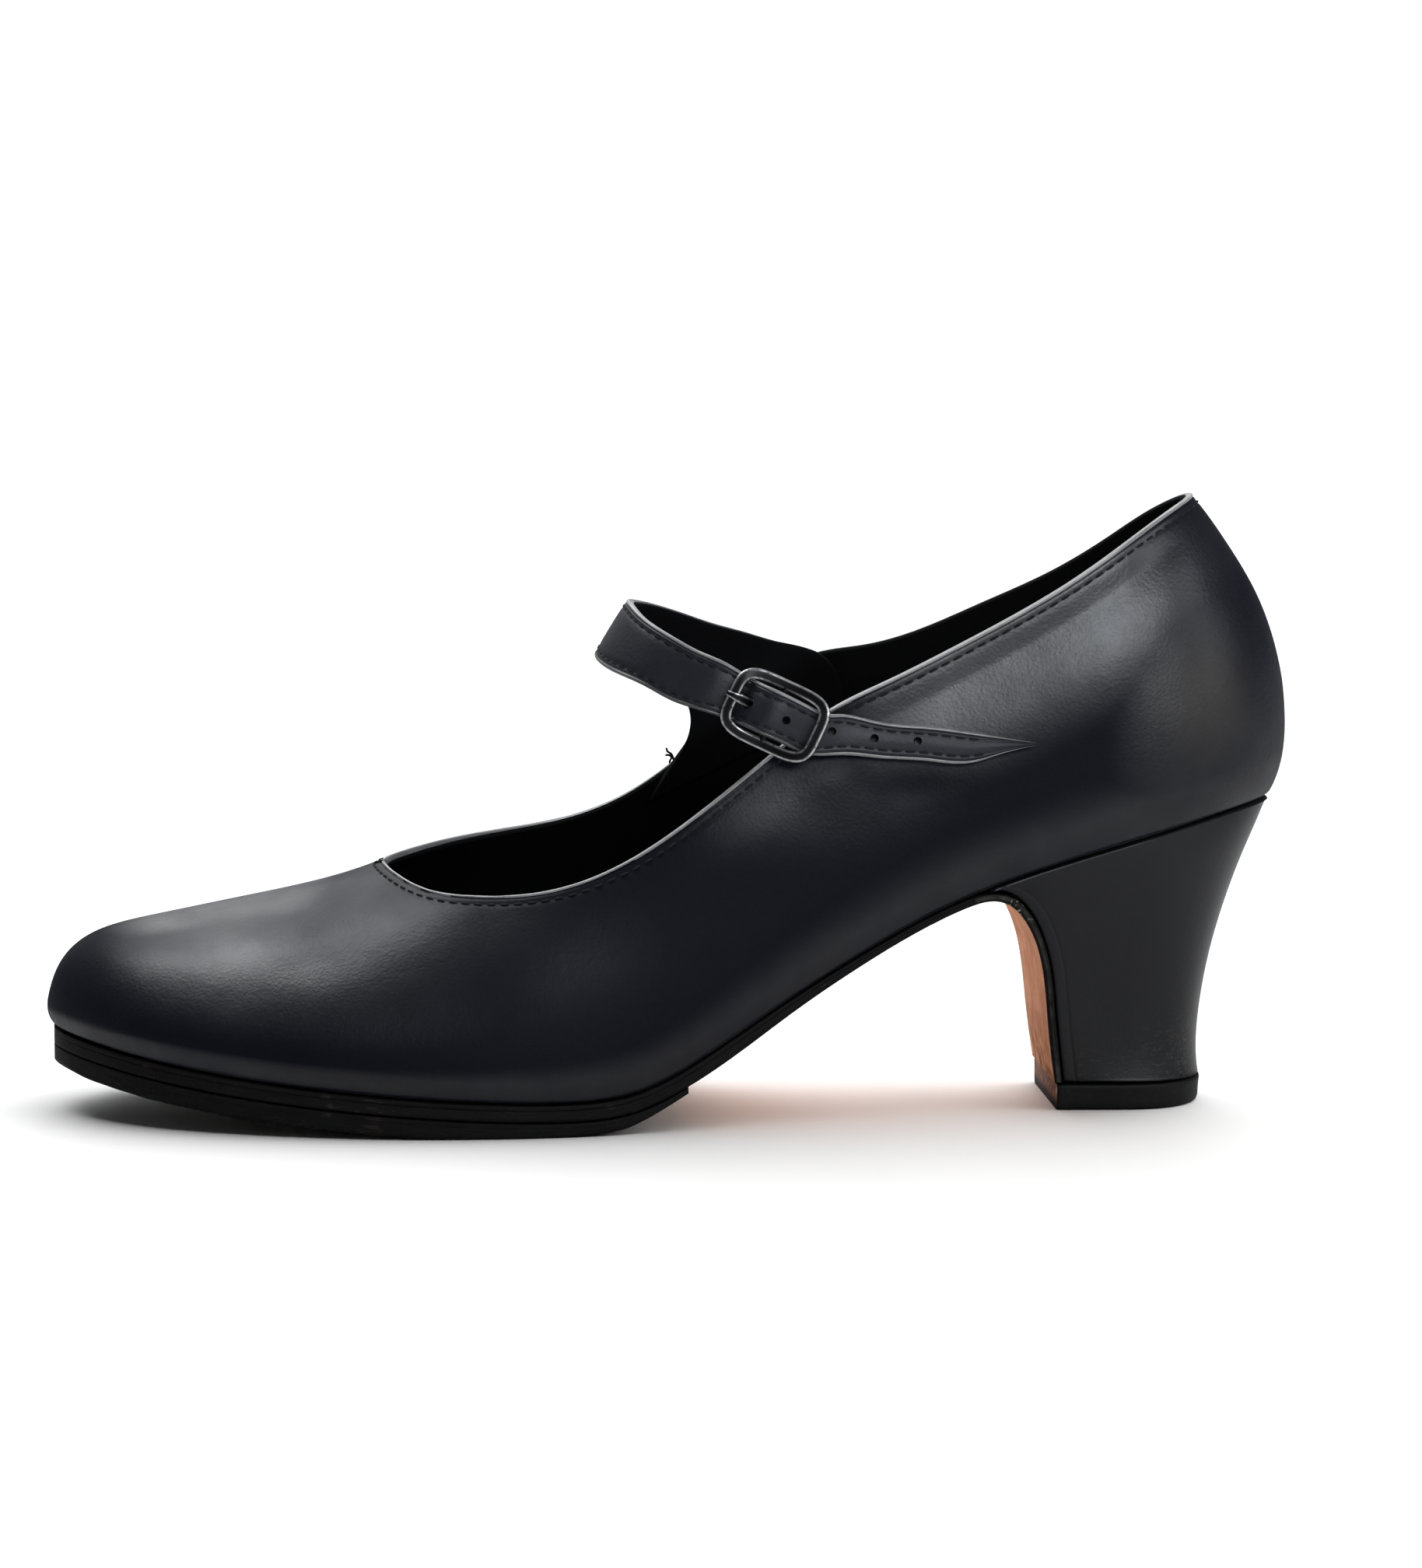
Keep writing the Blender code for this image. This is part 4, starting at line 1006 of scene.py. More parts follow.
# Painted light on the strap's edges: the rear edge, which faces up, is paler as a painted highlight, and
# the front edge stays darker as painted shade except on the tail.
rear_pale_and_highlight, front_pale_with_painted_shade = 0.3 * smooth_step(share, 0.15, 0.25) + 0.6 * seen, seen * (0.15 + 0.75 * tail)
pale = np.where(rear, rear_pale_and_highlight, front_pale_with_painted_shade)
strap = piece("instep_strap", points, faces, [strap_calf, rubbed_edge_and_highlight, lining_leather],
              "strap", zones, {"pale": pale}, sharp=50)

# %% Holes of the strap
HOLE, PRONG_HOLE, PUNCH, PUNCH_SIDES = 0.8, 1.35, 10.0, 28
BUCKLE_HOLES = ((-5.5, PRONG_HOLE), (3.0, HOLE))
TAIL_HOLES = ((30.6, 75.4), (38.6, 74.1), (46.9, 73.5))


def buckle_matrix(along=0.0, across=0.0, out=0.0):
    """A place in metres with its X along the strap, its Y across it and its Z out from the foot."""
    turned = Matrix(buckle_axes()).transposed().to_4x4()
    spot = (buckle_point(along, across, out) + CENTRING) * MM
    return Matrix.Translation(spot) @ turned


def punch(radius, place):
    """A round punch along the Z axis of a place in metres."""
    mesh = bpy.data.meshes.new("punch")
    work = bmesh.new()
    sizes = {"radius1": radius * MM, "radius2": radius * MM, "depth": PUNCH * MM}
    bmesh.ops.create_cone(work, cap_ends=True, segments=PUNCH_SIDES, matrix=place, **sizes)
    work.to_mesh(mesh)
    work.free()
    return mesh


punches = [punch(radius, buckle_matrix(along)) for along, radius in BUCKLE_HOLES]
for place in TAIL_HOLES:
    spot = Vector((np.array(wall_row([place], LATERAL, 0)[0]) + CENTRING) * MM)
    punches.append(punch(HOLE, Matrix.Translation(spot) @ buckle_matrix().to_3x3().to_4x4()))
carve(strap, punches)
print("strap punched with", len(punches), "holes")

# %% Stitches of the strap
STRAP_STITCH_IN, STRAP_THREAD, STITCH_BED, STITCHED_HALF, FIRST_STITCHED = 1.62, 0.2, 0.74, 2.2, 7
middle, half, across, out = frames
inset = STRAP_STITCH_IN * np.minimum(1.0, half / NARROW)
stitched = (half > STITCHED_HALF) & (np.arange(len(half)) >= FIRST_STITCHED)
seams = []
for side in (-1, 1):
    line = middle + across * (side * (half - inset))[:, None] + out * STITCH_BED
    seams.append(stitches(line[stitched], out[stitched], STRAP_THREAD))
points, faces = joined(seams)
piece("strap_stitches", points, faces, [black_thread])

# %% [markdown]
# ## The buckle
# A small oblong frame of black metal with a bar across its middle and a prong. Its outer corners are
# bright grey: partly black rubbed off by wear, partly a painted highlight of the light along the wire's
# outer edges. A round wire would blur that line, so the frame has a flattened profile with corners, and
# each point knows how near it is to an outer corner.

# %% Black metal
metal = Finish("black_buckle_metal")
# Bright grey on the outer corners: wear and a painted highlight together.
rubbed = metal.layer("corner") * metal.noise(1.2, 3.0).between(0.2, 0.55)
specks = metal.noise(0.3, 2.0).between(0.68, 0.78)
coat = metal.blend(rubbed, (0.006, 0.006, 0.007), (0.42, 0.42, 0.43))
buckle_metal = metal.surface(
    base_color=coat, metallic=0.7 * rubbed, roughness=0.26 + 0.12 * metal.noise(2.0) + 0.1 * specks,
    height=0.012 * metal.noise(0.5, 3.0), specular_ior_level=0.10,
)
print("finish:", buckle_metal.name)

# %% A flattened wire
def squared_circle(angle, squareness):
    """The two coordinates of a circle drawn out towards a square."""
    c, s = np.cos(angle), np.sin(angle)
    size = (np.abs(c) ** squareness + np.abs(s) ** squareness) ** (-1 / squareness)
    return size * c, size * s


def flat_wire(line, out, wide, deep, closed=False, squareness=4.5, count=32):
    """Rings of a flattened wire along a line, and how near each point is to a corner."""
    along = np.gradient(line, axis=0)
    if closed:
        along = np.roll(line, -1, axis=0) - np.roll(line, 1, axis=0)
    side = unit(np.cross(along, np.broadcast_to(out, line.shape)))
    up = unit(np.cross(side, along))
    angle = 2 * math.pi * (np.arange(count) + 0.5) / count
    c, s = squared_circle(angle, squareness)
    wide, deep = np.broadcast_to(wide, len(line)), np.broadcast_to(deep, len(line))
    rings = [
        line[k] + np.outer(c * wide[k], side[k]) + np.outer(s * deep[k], up[k]) for k in range(len(line))
    ]
    # Only the outer corners, the side that faces the light, are counted: they carry wear and a painted
    # highlight.
    corner = smooth_step(np.abs(np.sin(2 * angle)), 0.8, 1.0) * (np.sin(angle) > 0)
    return rings, np.tile(corner, len(line))


print("a wire can be round, or flat with corners")

# %% Frame and bar
FRAME_LENGTH, FRAME_WIDTH, FRAME_WIRE, FRAME_ARCH = 19.8, 14.4, 1.05, 1.8
FRAME_SHIFT, FRAME_SQUARENESS = 0.5, 4.4
FRAME_DEEP, BAR_WIRE, FRAME_POINTS, BAR_POINTS = 0.65 * FRAME_WIRE, 0.7, 160, 24
axis_out = np.array(buckle_axes()[2])
round_frame = 2 * math.pi * np.arange(FRAME_POINTS) / FRAME_POINTS
c, s = squared_circle(round_frame, FRAME_SQUARENESS)
half_length, half_breadth = FRAME_LENGTH / 2 - FRAME_WIRE, FRAME_WIDTH / 2 - FRAME_WIRE
frame_line = np.array([
    buckle_point(a + FRAME_SHIFT, b, FRAME_ARCH * (2 * a / FRAME_LENGTH) ** 2)
    for a, b in zip(half_length * c, half_breadth * s)
])
rings, corner = flat_wire(frame_line, axis_out, FRAME_WIRE, FRAME_DEEP, closed=True)
points, faces = lofted(rings + rings[:1], ends=False)
points, size = points[: -len(rings[0])], len(rings) * len(rings[0])
frame_loop = points, [[v % size for v in face] for face in faces]
bar_line = np.array([buckle_point(0, b, 0) for b in np.linspace(-1, 1, BAR_POINTS) * half_breadth])
bar_rings, bar_corner = flat_wire(bar_line, axis_out, BAR_WIRE, BAR_WIRE, squareness=2.0)
points, faces = joined([frame_loop, lofted(bar_rings)])
piece("buckle_loop", points, faces, [buckle_metal], "buckle_frame",
      layers={"corner": np.concatenate([corner, 0 * bar_corner])}, sharp=70)

# %% Prong
PRONG = ((0.9, -1.25), (0.0, -1.55), (-1.1, -1.2), (-2.4, -1.0), (-4.0, -0.95),
         (-5.2, 0.0), (-6.2, 1.6), (-7.3, 2.75), (-8.6, 3.0), (-9.4, 2.75))
PRONG_STEPS, PRONG_HALF, PRONG_DEEP, PRONG_TAPER = 70, 0.9, 0.48, 0.45
prong_path, _ = smooth_path([buckle_point(a, 0, o) for a, o in PRONG])
places = np.linspace(0, 1, PRONG_STEPS)
taper = 1 - PRONG_TAPER * smooth_step(places, 0.75, 1.0)
rings, corner = flat_wire(prong_path(places), axis_out, PRONG_HALF * taper, PRONG_DEEP * taper)
points, faces = lofted(rings)
piece("buckle_tongue", points, faces, [buckle_metal], "buckle_prong",
      layers={"corner": corner}, sharp=70)

# %% [markdown]
# ## The loop that holds the buckle
# A narrow strip of the same leather goes round the bar and is sewn to the outer wall under the strap's
# tail. Hardly any of it shows, yet it is what carries the buckle. It has a slot for the prong, cut out
# of the finished strip, which is simpler than rings that part and meet again.

# %% Buckle loop leather
CHAPE_WIDTH, CHAPE_CLEAR, CHAPE_STEPS = 6.4, 0.1, 90
CHAPE_FROM, CHAPE_SWEEP, CHAPE_TURNS = 40, 230, 9
CHAPE_RUN = ((1.6, -1.45), (3.4, -1.9), (5.6, -2.45), (7.6, -2.75))
CHAPE_ON_WALL = ((28.6, 75.6), (31.2, 75.1))
CHAPE_EDGE = ((0.0, 0.12), (0.05, 0.25), (0.18, 0.33), (0.45, 0.35))


def chape_rows():
    """Edge points of the loop: round the bar, then down to the wall."""
    radius, half = BAR_WIRE + GAP + CHAPE / 2, CHAPE_WIDTH / 2
    turns = [math.radians(CHAPE_FROM + CHAPE_SWEEP * i / CHAPE_TURNS) for i in range(CHAPE_TURNS + 1)]
    line = [(radius * math.cos(a), radius * math.sin(a)) for a in turns] + list(CHAPE_RUN)
    rows = [(*buckle_point(a, -half, o), *buckle_point(a, half, o)) for a, o in line]
    lean = buckle_axes()[1]
    for x, z in CHAPE_ON_WALL:
        places = [(x + side * half * lean.x, z + side * half * lean.z) for side in (-1, 1)]
        ends = wall_row(places, LATERAL, GAP + CHAPE / 2 + CHAPE_CLEAR)
        rows.append((*ends[0], *ends[1]))
    return rows


def chape_ring(middle, half, across, out):
    """The loop's outline in section, a flat strip with rounded edges."""
    edge = [(half - inset, high) for inset, high in CHAPE_EDGE]
    ring = edge + [(-a, o) for a, o in edge[::-1]]
    ring += [(-a, -o) for a, o in edge] + [(a, -o) for a, o in edge[::-1]]
    return np.array([middle + across * a + out * o for a, o in ring])


rings = [chape_ring(*row) for row in zip(*band_frames(smooth_path(chape_rows())[0], CHAPE_STEPS))]
points, faces = lofted(rings)
chape = piece("buckle_strap_loop", points, faces, [strap_calf], "buckle_chape", sharp=60)

# %% Slot for the prong
CHAPE_SLOT, SLOT_LENGTH = 2.2, 5.0
slot = bpy.data.meshes.new("slot")
work = bmesh.new()
stretch = Matrix.Diagonal((SLOT_LENGTH * MM, CHAPE_SLOT * MM, SLOT_LENGTH * MM, 1))
bmesh.ops.create_cube(work, size=1, matrix=buckle_matrix(-SLOT_LENGTH / 4) @ stretch)
work.to_mesh(slot)
work.free()
carve(chape, [slot])
print("slot:", SLOT_LENGTH, "by", CHAPE_SLOT, "mm")

# %% [markdown]
# ## Sole leather
# The outsole is bare tan leather with its edge dyed black. It runs from the toe through the waist and
# turns down the front of the heel, where the tan face shows. The edge is cut through many fibres, so it
# is streaked along its length; the face is smooth, darker in patches low down, and black where the dye ran
# over.
# That border is the distance from the edge with some noise added, because dye stops nowhere sharply.

# %% Tan face and dyed edge
tan = Finish("tan_sole_leather")
fibres = tan.noise(0.5, 4.0, tan.stretched(1.0, 0.25, 1.0))
mottle = tan.noise(5.0, 4.0)
hide = tan.blend(mottle.between(0.3, 0.7), (0.58, 0.315, 0.205), (0.72, 0.43, 0.30))
hide = tan.blend(0.35 * fibres.between(0.55, 0.8), hide, (0.48, 0.24, 0.15))
depth_z = tan.node("SeparateXYZ", None, {0: tan.place}, "Z")
darker_low_down = (1 - depth_z.between(5, 20)) * tan.noise(3.0, 4.0).between(0.38, 0.62)
hide = tan.blend(0.8 * darker_low_down, hide, (0.25, 0.12, 0.055))
ran_over = 1 - (tan.layer("inset") + 0.9 * (tan.noise(1.2, 3.0) - 0.5)).between(0.45, 0.8)
hide = tan.blend(ran_over, hide, (0.012, 0.011, 0.011))
tan_sole = tan.surface(
    base_color=hide, roughness=0.7 + 0.2 * (fibres - 0.5),
    height=0.05 * fibres + 0.03 * tan.noise(0.25, 2.0), specular_ior_level=0.0,
)


def dyed_edge(name, bare, streak=0.10):
    """Black edge of a sole, cut across its fibres."""
    cut = Finish(name)
    flat = cut.stretched(0.12, 0.12, 0.0)
    ply = cut.node("CombineXYZ", None, {"Z": cut.layer("depth")})
    lay = cut.node("VectorMath", {"operation": "ADD"}, {0: flat, 1: ply})
    streaks = cut.noise(0.4, 4.0, lay, 0.65)
    coarse = cut.noise(1.6, 2.0, lay)
    rubbed = (streaks * cut.noise(7.0, 3.0)).between(0.32, 0.46)
    black = cut.blend(coarse.between(0.3, 0.7), (0.0035, 0.0035, 0.004), (0.0075, 0.0075, 0.008))
    black = cut.blend(bare * rubbed, black, (0.085, 0.062, 0.048))
    deep, down = cut.layer("depth"), cut.layer("breast")
    band = deep.between(0.15, 0.4) * (1 - deep.between(0.85, 1.05)) * cut.noise(5.0, 5.0).between(0.3, 0.7)
    black = cut.blend(0.75 * (down * band), black, (0.070, 0.073, 0.060))
    grit = cut.noise(0.45, 3.0).between(0.6, 0.78) * cut.noise(6.0, 2.0).between(0.3, 0.7)
    black = cut.blend(0.5 * grit, black, (0.050, 0.049, 0.047))
    chips = cut.near((67.5, -24, 41.2), 1.5, 5.5) * cut.noise(0.9, 3.0).between(0.56, 0.62)
    black = cut.blend(0.8 * (down * chips), black, (0.34, 0.33, 0.29))
    return cut.surface(
        base_color=black, roughness=0.66 + 0.2 * (coarse - 0.3),
        height=1.6 * streak * streaks + 0.2 * coarse + 0.1 * grit, specular_ior_level=0.06,
    )


sole_edge = dyed_edge("dyed_sole_edge", 0.5)
print("finishes:", tan_sole.name, sole_edge.name)

# %% [markdown]
# ## The outsole
# Sections stand across the sole from the toe to the end of the waist, then turn down the breast of the
# heel. Each has a cut edge with a fine groove near the top and a rounded lower corner. A bent slab
# would be quicker, but width, thickness and slope all change on the way.

# %% Down the breast of the heel
Breast = namedtuple("Breast", "x z lateral medial thickness")
BREAST = [Breast(*row) for row in (
    (56.0, 42.5, 26.8, 22.9, 1.45), (61.0, 43.8, 26.4, 23.1, 1.5), (65.5, 42.8, 24.6, 22.6, 1.6),
    (69.2, 39.4, 22.3, 21.6, 1.6), (71.9, 34.3, 20.5, 20.3, 1.5), (73.7, 27.8, 19.2, 19.2, 1.5),
    (74.7, 19.3, 18.3, 18.3, 1.5), (75.7, 10.4, 17.7, 17.7, 1.5), (76.3, 5.6, 17.4, 17.4, 1.4),
)]
SHANK_X, SHANK_RUN, SOLE_LEDGE, BREAST_TOP = 50.0, 8.0, 0.3, 1


def under_upper(x):
    """A row of the outsole where the upper stands on it: x, z, half widths and thickness."""
    sides = [float(half_width[side](x)) + SOLE_LEDGE for side in (LATERAL, MEDIAL)]
    return (x, float(feather(x)) - GAP, *sides, float(outsole_thickness(x)))


breast_path, breast_knots = smooth_path([under_upper(SHANK_X - SHANK_RUN), under_upper(SHANK_X), *BREAST])
SHANK_KNOT = breast_knots[1]
SEAT_SHARE = (breast_knots[BREAST_TOP + 2] - SHANK_KNOT) / (1 - SHANK_KNOT)


def breast_row(share):
    """A row of the outsole from the shank's end, 0, to the heel's foot, 1, and its slope."""
    s, step = SHANK_KNOT + (1 - SHANK_KNOT) * share, TINY_TURN
    run = breast_path(min(1.0, s + step)) - breast_path(s - step)
    return (*breast_path(s), math.atan2(run[1], run[0]))


print("breast:", len(BREAST), "rows, the heel's seat", round(float(SEAT_SHARE), 2), "of the way down")

# %% Sections across a sole
EDGE_ROUND, FULL_EDGE, UNDER_POINTS, OVER_POINTS = 0.7, 3.2, 15, 3
ABOVE_GROOVE = ((0.3, 0.0), (0.08, 0.05), (0.0, 0.2), (0.0, 0.7), (0.03, 0.85))
GROOVE_AT, BELOW_GROOVE = 1.0, ((0.03, 1.15), (0.0, 1.3))
CORNER_TURNS = (18, 36, 54, 72, 90)


def sole_stations(last_x, count):
    """Stations of a sole piece, closer together at the toe."""
    span = last_x - TOE_X
    return [TOE_X + span * (1 - math.cos(math.pi / 2 * (i + 0.1) / (count - 0.9))) for i in range(count)]


def edge_line(thickness, groove):
    """The cut edge from the top to the bottom of a sole: distance in from the side, and depth."""
    scale, r = min(1.0, thickness / FULL_EDGE), min(EDGE_ROUND, thickness / 3)
    line = [*ABOVE_GROOVE, (groove, GROOVE_AT), *BELOW_GROOVE]
    line = [(inset * scale, depth * scale) for inset, depth in line]
    line += [(0.0, line[-1][1] + (thickness - r - line[-1][1]) * k / 4) for k in range(1, 5)]
    corner = [math.radians(a) for a in CORNER_TURNS]
    return line + [(r * (1 - math.cos(a)), thickness - r + r * math.sin(a)) for a in corner]


def sole_ring(x, z, lateral, medial, thickness, slope, groove):
    """A section across a sole piece: points, depth below its top and distance in from its side."""
    edge = edge_line(thickness, groove)
    fit = min(1.0, (lateral + medial) / 4)
    under = np.linspace(-lateral + fit * edge[-1][0], medial - fit * edge[-1][0], UNDER_POINTS + 2)[1:-1]
    over = np.linspace(medial - fit * edge[0][0], -lateral + fit * edge[0][0], OVER_POINTS + 2)[1:-1]
    ring = [(-lateral + fit * inset, depth) for inset, depth in edge] + [(y, thickness) for y in under]
    ring += [(medial - fit * inset, depth) for inset, depth in edge[::-1]] + [(y, 0.0) for y in over]
    y, depth = np.array(ring).T
    points = np.stack([x + math.sin(slope) * depth, y, z - math.cos(slope) * depth], -1)
    return points, depth, np.minimum(y + lateral, medial - y)


def sole_piece(name, rows, groove, finishes, stands_for, breast=0):
    """A sole from its rows, the last few on the breast, with a finish for its edge and one for its face."""
    rings, depth, inset = zip(*(sole_ring(*row, groove) for row in rows))
    points, faces = lofted(rings)
    edge = len(edge_line(1, 0))
    kinds = [0] * (edge - 1) + [1] * (UNDER_POINTS + 1) + [0] * (edge + OVER_POINTS)
    zones = kinds * (len(rings) - 1) + [0, 0]
    down = np.repeat(np.arange(len(rows)) >= len(rows) - breast, len(rings[0]))
    layers = {"depth": np.concatenate(depth), "inset": np.concatenate(inset), "breast": down}
    return piece(name, points, faces, finishes, stands_for, zones, layers, sharp=50)


print("points down a cut edge:", len(edge_line(FULL_EDGE, 0)))

# %% Outsole
SOLE_STATIONS, BREAST_STATIONS, BREAST_SHARE, GROOVE = 190, 90, 0.86, 0.22
TURN_FROM_X, TURN_TO_X = -10.0, 25.0
outsole_rows = []
for x in sole_stations(SHANK_X, SOLE_STATIONS):
    lean = math.atan(feather(x + 0.5) - feather(x - 0.5)) * smooth_step(x, TURN_FROM_X, TURN_TO_X)
    outsole_rows.append((*under_upper(x), float(lean)))
outsole_rows += [breast_row(i / BREAST_STATIONS) for i in range(1, BREAST_STATIONS + 1)]
sole_piece("leather_outsole", outsole_rows, GROOVE, [sole_edge, tan_sole], "outsole",
           round(BREAST_SHARE * BREAST_STATIONS))

# %% [markdown]
# ## The half sole
# Under the ball lies a black half sole, thick at the toe and skived thin behind, where it takes the
# dancer's blows. It stands flat on the floor. Its underside is dull and finely pricked. The outsole's
# helper makes it too, from rows of its own, and use has left its lower edge uneven.

# %% Half sole rubber
rubber = Finish("black_sole_rubber")
prick = rubber.cells(0.8)
dust = rubber.noise(3.0, 4.0).between(0.5, 0.75)
black_rubber = rubber.surface(
    base_color=rubber.blend(0.5 * dust, (0.0085, 0.0085, 0.009), (0.026, 0.025, 0.024)),
    roughness=0.62 + 0.15 * dust, height=0.06 * prick.between(0.1, 0.4) + 0.02 * rubber.noise(0.3, 2.0),
)
half_edge = dyed_edge("half_sole_edge", 0.25, 0.14)
print("finishes:", black_rubber.name, half_edge.name)

# %% Half sole
FOREFOOT_SOLE, HALF_SOLE_END_X, HALF_SOLE_SKIVE, HALF_SOLE_THIN = 7.5, 2.0, 24.0, 1.2
TOE_EASE, TOE_EASE_RUN, HALF_SOLE_GROOVE = 0.7, 9.0, 0.08


def wear(x):
    """How far use has bent the lower edge up or down at a station."""
    slow, quick = math.sin(x / 3.7) * math.sin(x / 9.1 + 1), math.sin(x / 1.3) * math.sin(x / 2.9)
    return 0.14 * slow + 0.05 * quick


half_rows = []
for x in sole_stations(HALF_SOLE_END_X, SOLE_STATIONS):
    top = float(feather(x) - outsole_thickness(x)) - 2 * GAP
    full = max(0.0, float(feather(x)) - FOREFOOT_SOLE)
    skived = float(smooth_step(x, HALF_SOLE_END_X - HALF_SOLE_SKIVE, HALF_SOLE_END_X))
    low = full + skived * (top - HALF_SOLE_THIN - full)
    sides = [float(half_width[side](x)) + SOLE_LEDGE for side in (LATERAL, MEDIAL)]
    low += wear(x) * float(smooth_step(low, 0.6, 1.6)) * (1 - skived)
    low += TOE_EASE * (1 - float(smooth_step(x, TOE_X, TOE_X + TOE_EASE_RUN)))
    half_rows.append((x, top, *sides, top - low, 0.0))
sole_piece("half_sole_layer", half_rows, HALF_SOLE_GROOVE, [half_edge, black_rubber],
           "half_sole")

# %% [markdown]
# ## The heel
# The heel is a block with leather drawn round its sides and folded in at the breast. Its sections are
# half rounds that lean back as they rise into the seat. A fine line beside the breast marks the fold,
# and the foot of the heel is scuffed to grey. A block cut to shape would do for the outline, but rings
# let the fold follow the breast.

# %% Heel leather
leather, tint, rough, relief = calf(
    "heel_calf", (0.0062, 0.0068, 0.0096), (0.0084, 0.0090, 0.0118), 0.46, 0.10, 0.0
)
low = leather.node("SeparateXYZ", None, {0: leather.place}, "Z")
# Painted shade: the heel's black is made darker towards its foot.
tint = leather.blend(0.7 * (1 - low.between(5, 42)), tint, (0.0016, 0.0017, 0.0022))
scratch = leather.noise(0.5, 5.0, leather.stretched(0.3, 0.3, 1.3), 0.7)
foot_scuff = (1 - low.between(4, 16)) * scratch.between(0.56, 0.74)
rub = leather.noise(0.7, 6.0, leather.stretched(0.5, 0.5, 1.0), 0.75)
back_scuff = leather.near((99, -13, 8), 1, 15) * rub.between(0.48, 0.72)
scuffs = leather.node("Math", {"operation": "MAXIMUM"}, {0: 0.5 * foot_scuff, 1: 0.5 * back_scuff})
heel_calf = leather.surface(
    base_color=leather.blend(scuffs, tint, (0.075, 0.073, 0.070)), roughness=rough + 0.15 * scuffs,
    height=relief - 0.03 * scuffs, specular_ior_level=0.18,
)
print("finish:", heel_calf.name)

# %% Levels of the heel
Heel = namedtuple("Heel", "back_x back_z breast widest")
HEEL = [Heel(*row) for row in (
    (105.2, 5.3, 0.0, 18.0), (104.8, 10.5, 0.11, 17.6), (105.3, 18.0, 0.27, 17.8),
    (106.8, 27.0, 0.44, 18.6), (109.0, 35.5, 0.585, 19.8), (111.6, 43.2, 0.715, 21.4),
    (114.3, 49.8, 0.825, 23.2), (116.7, 55.0, 0.92, 24.6), (118.6, 59.6, 1.0, 25.4),
)]
HEEL_ROUND, HEEL_WIDEST = 2.3, 0.45
heel_curves = [smooth(np.linspace(0, 1, len(HEEL)), values) for values in zip(*HEEL)]


@lru_cache(maxsize=None)
def heel_level(level):
    """The heel's row at a level from 0 (foot) to 1 (seat), and its front edge on the breast."""
    row = Heel(*(float(curve(level)) for curve in heel_curves))
    x, z, lateral, medial, _, slope = breast_row(1 - row.breast * (1 - SEAT_SHARE))
    return row, x - math.sin(slope) * GAP, z + math.cos(slope) * GAP, {LATERAL: lateral, MEDIAL: medial}


def heel_place(level, x, side):
    """Half width and height on a D-shaped, tilted section of the heel."""
    row, front_x, front_z, front_width = heel_level(level)
    along = (x - front_x) / (row.back_x - front_x)
    y = front_width[side] + (row.widest - front_width[side]) * float(smooth_step(along, 0, HEEL_WIDEST))
    round_off = min(1.0, max(0.0, (along - HEEL_WIDEST) / (1 - HEEL_WIDEST)))
    return y * (1 - round_off**HEEL_ROUND) ** (1 / HEEL_ROUND), front_z + (row.back_z - front_z) * along


seat, foot = heel_level(1.0)[0], heel_level(0.0)[0]
print("heel:", round(seat.back_z - foot.back_z, 1), "mm high, widest", round(2 * seat.widest, 1), "mm")

# %% Rings of the heel
HEEL_SIDE_POINTS, STEP_GAP = 46, 0.4
FOLD_IN, FOLD_WIDTH, FOLD_DEPTH, CORNER = 2.3, 0.22, 0.14, 0.7
FRONT_STEPS = [0.0, 0.08, 0.2, 0.4, 0.7, 1.1, 1.6, 1.95, 2.15, 2.3, 2.45, 2.65, 3.0]


def heel_ring(level, grow=0.0, fold=0.0, drop=0.0):
    """A section of the heel: rounded front corners, a folded line behind them and a round back."""
    row, front_x, _, _ = heel_level(level)
    deep = row.back_x - front_x
    swept = [math.sin(math.pi / 2 * (i / HEEL_SIDE_POINTS)) * deep for i in range(HEEL_SIDE_POINTS + 1)]
    steps = FRONT_STEPS + [d for d in swept if d > FRONT_STEPS[-1] + STEP_GAP]
    ring = {LATERAL: [], MEDIAL: []}
    for d in steps:
        x, along = front_x + d, d / deep
        for side in (LATERAL, MEDIAL):
            y, z = heel_place(level, x, side)
            top_y, top_z = heel_place(1.0, x, side)
            y += level**4 * (float(half_width[side](x)) + SOLE_LEDGE - top_y) + grow
            z += level**4 * (float(feather(x)) - GAP - top_z) - drop
            y -= fold * math.exp(-(((d - FOLD_IN) / FOLD_WIDTH) ** 2))
            y -= CORNER - math.sqrt(CORNER**2 - max(0.0, CORNER - d) ** 2)
            ring[side].append((x + grow * (2 * along - 1), 0.0 if d == steps[-1] else side * y, z))
    return np.array(ring[LATERAL] + ring[MEDIAL][-2::-1])


def strip_ends(faces, size, count):
    """End faces made of strips across the ring, which follow a curved seat."""
    for first in (0, (count - 1) * size):
        for j in range(size // 2):
            strip = [first + j, first + j + 1, first + size - 2 - j, first + size - 1 - j]
            faces.append([k for n, k in enumerate(strip) if k not in strip[:n]])
    return faces


def same_length(rings):
    """Rings with as many points as the shortest of them, spread evenly among their own."""
    size = min(map(len, rings))
    return [
        straight_path(np.linspace(0, len(ring) - 1, size), np.arange(len(ring)), ring) for ring in rings
    ]


print("points in a ring of the heel's foot:", len(heel_ring(0.0)))

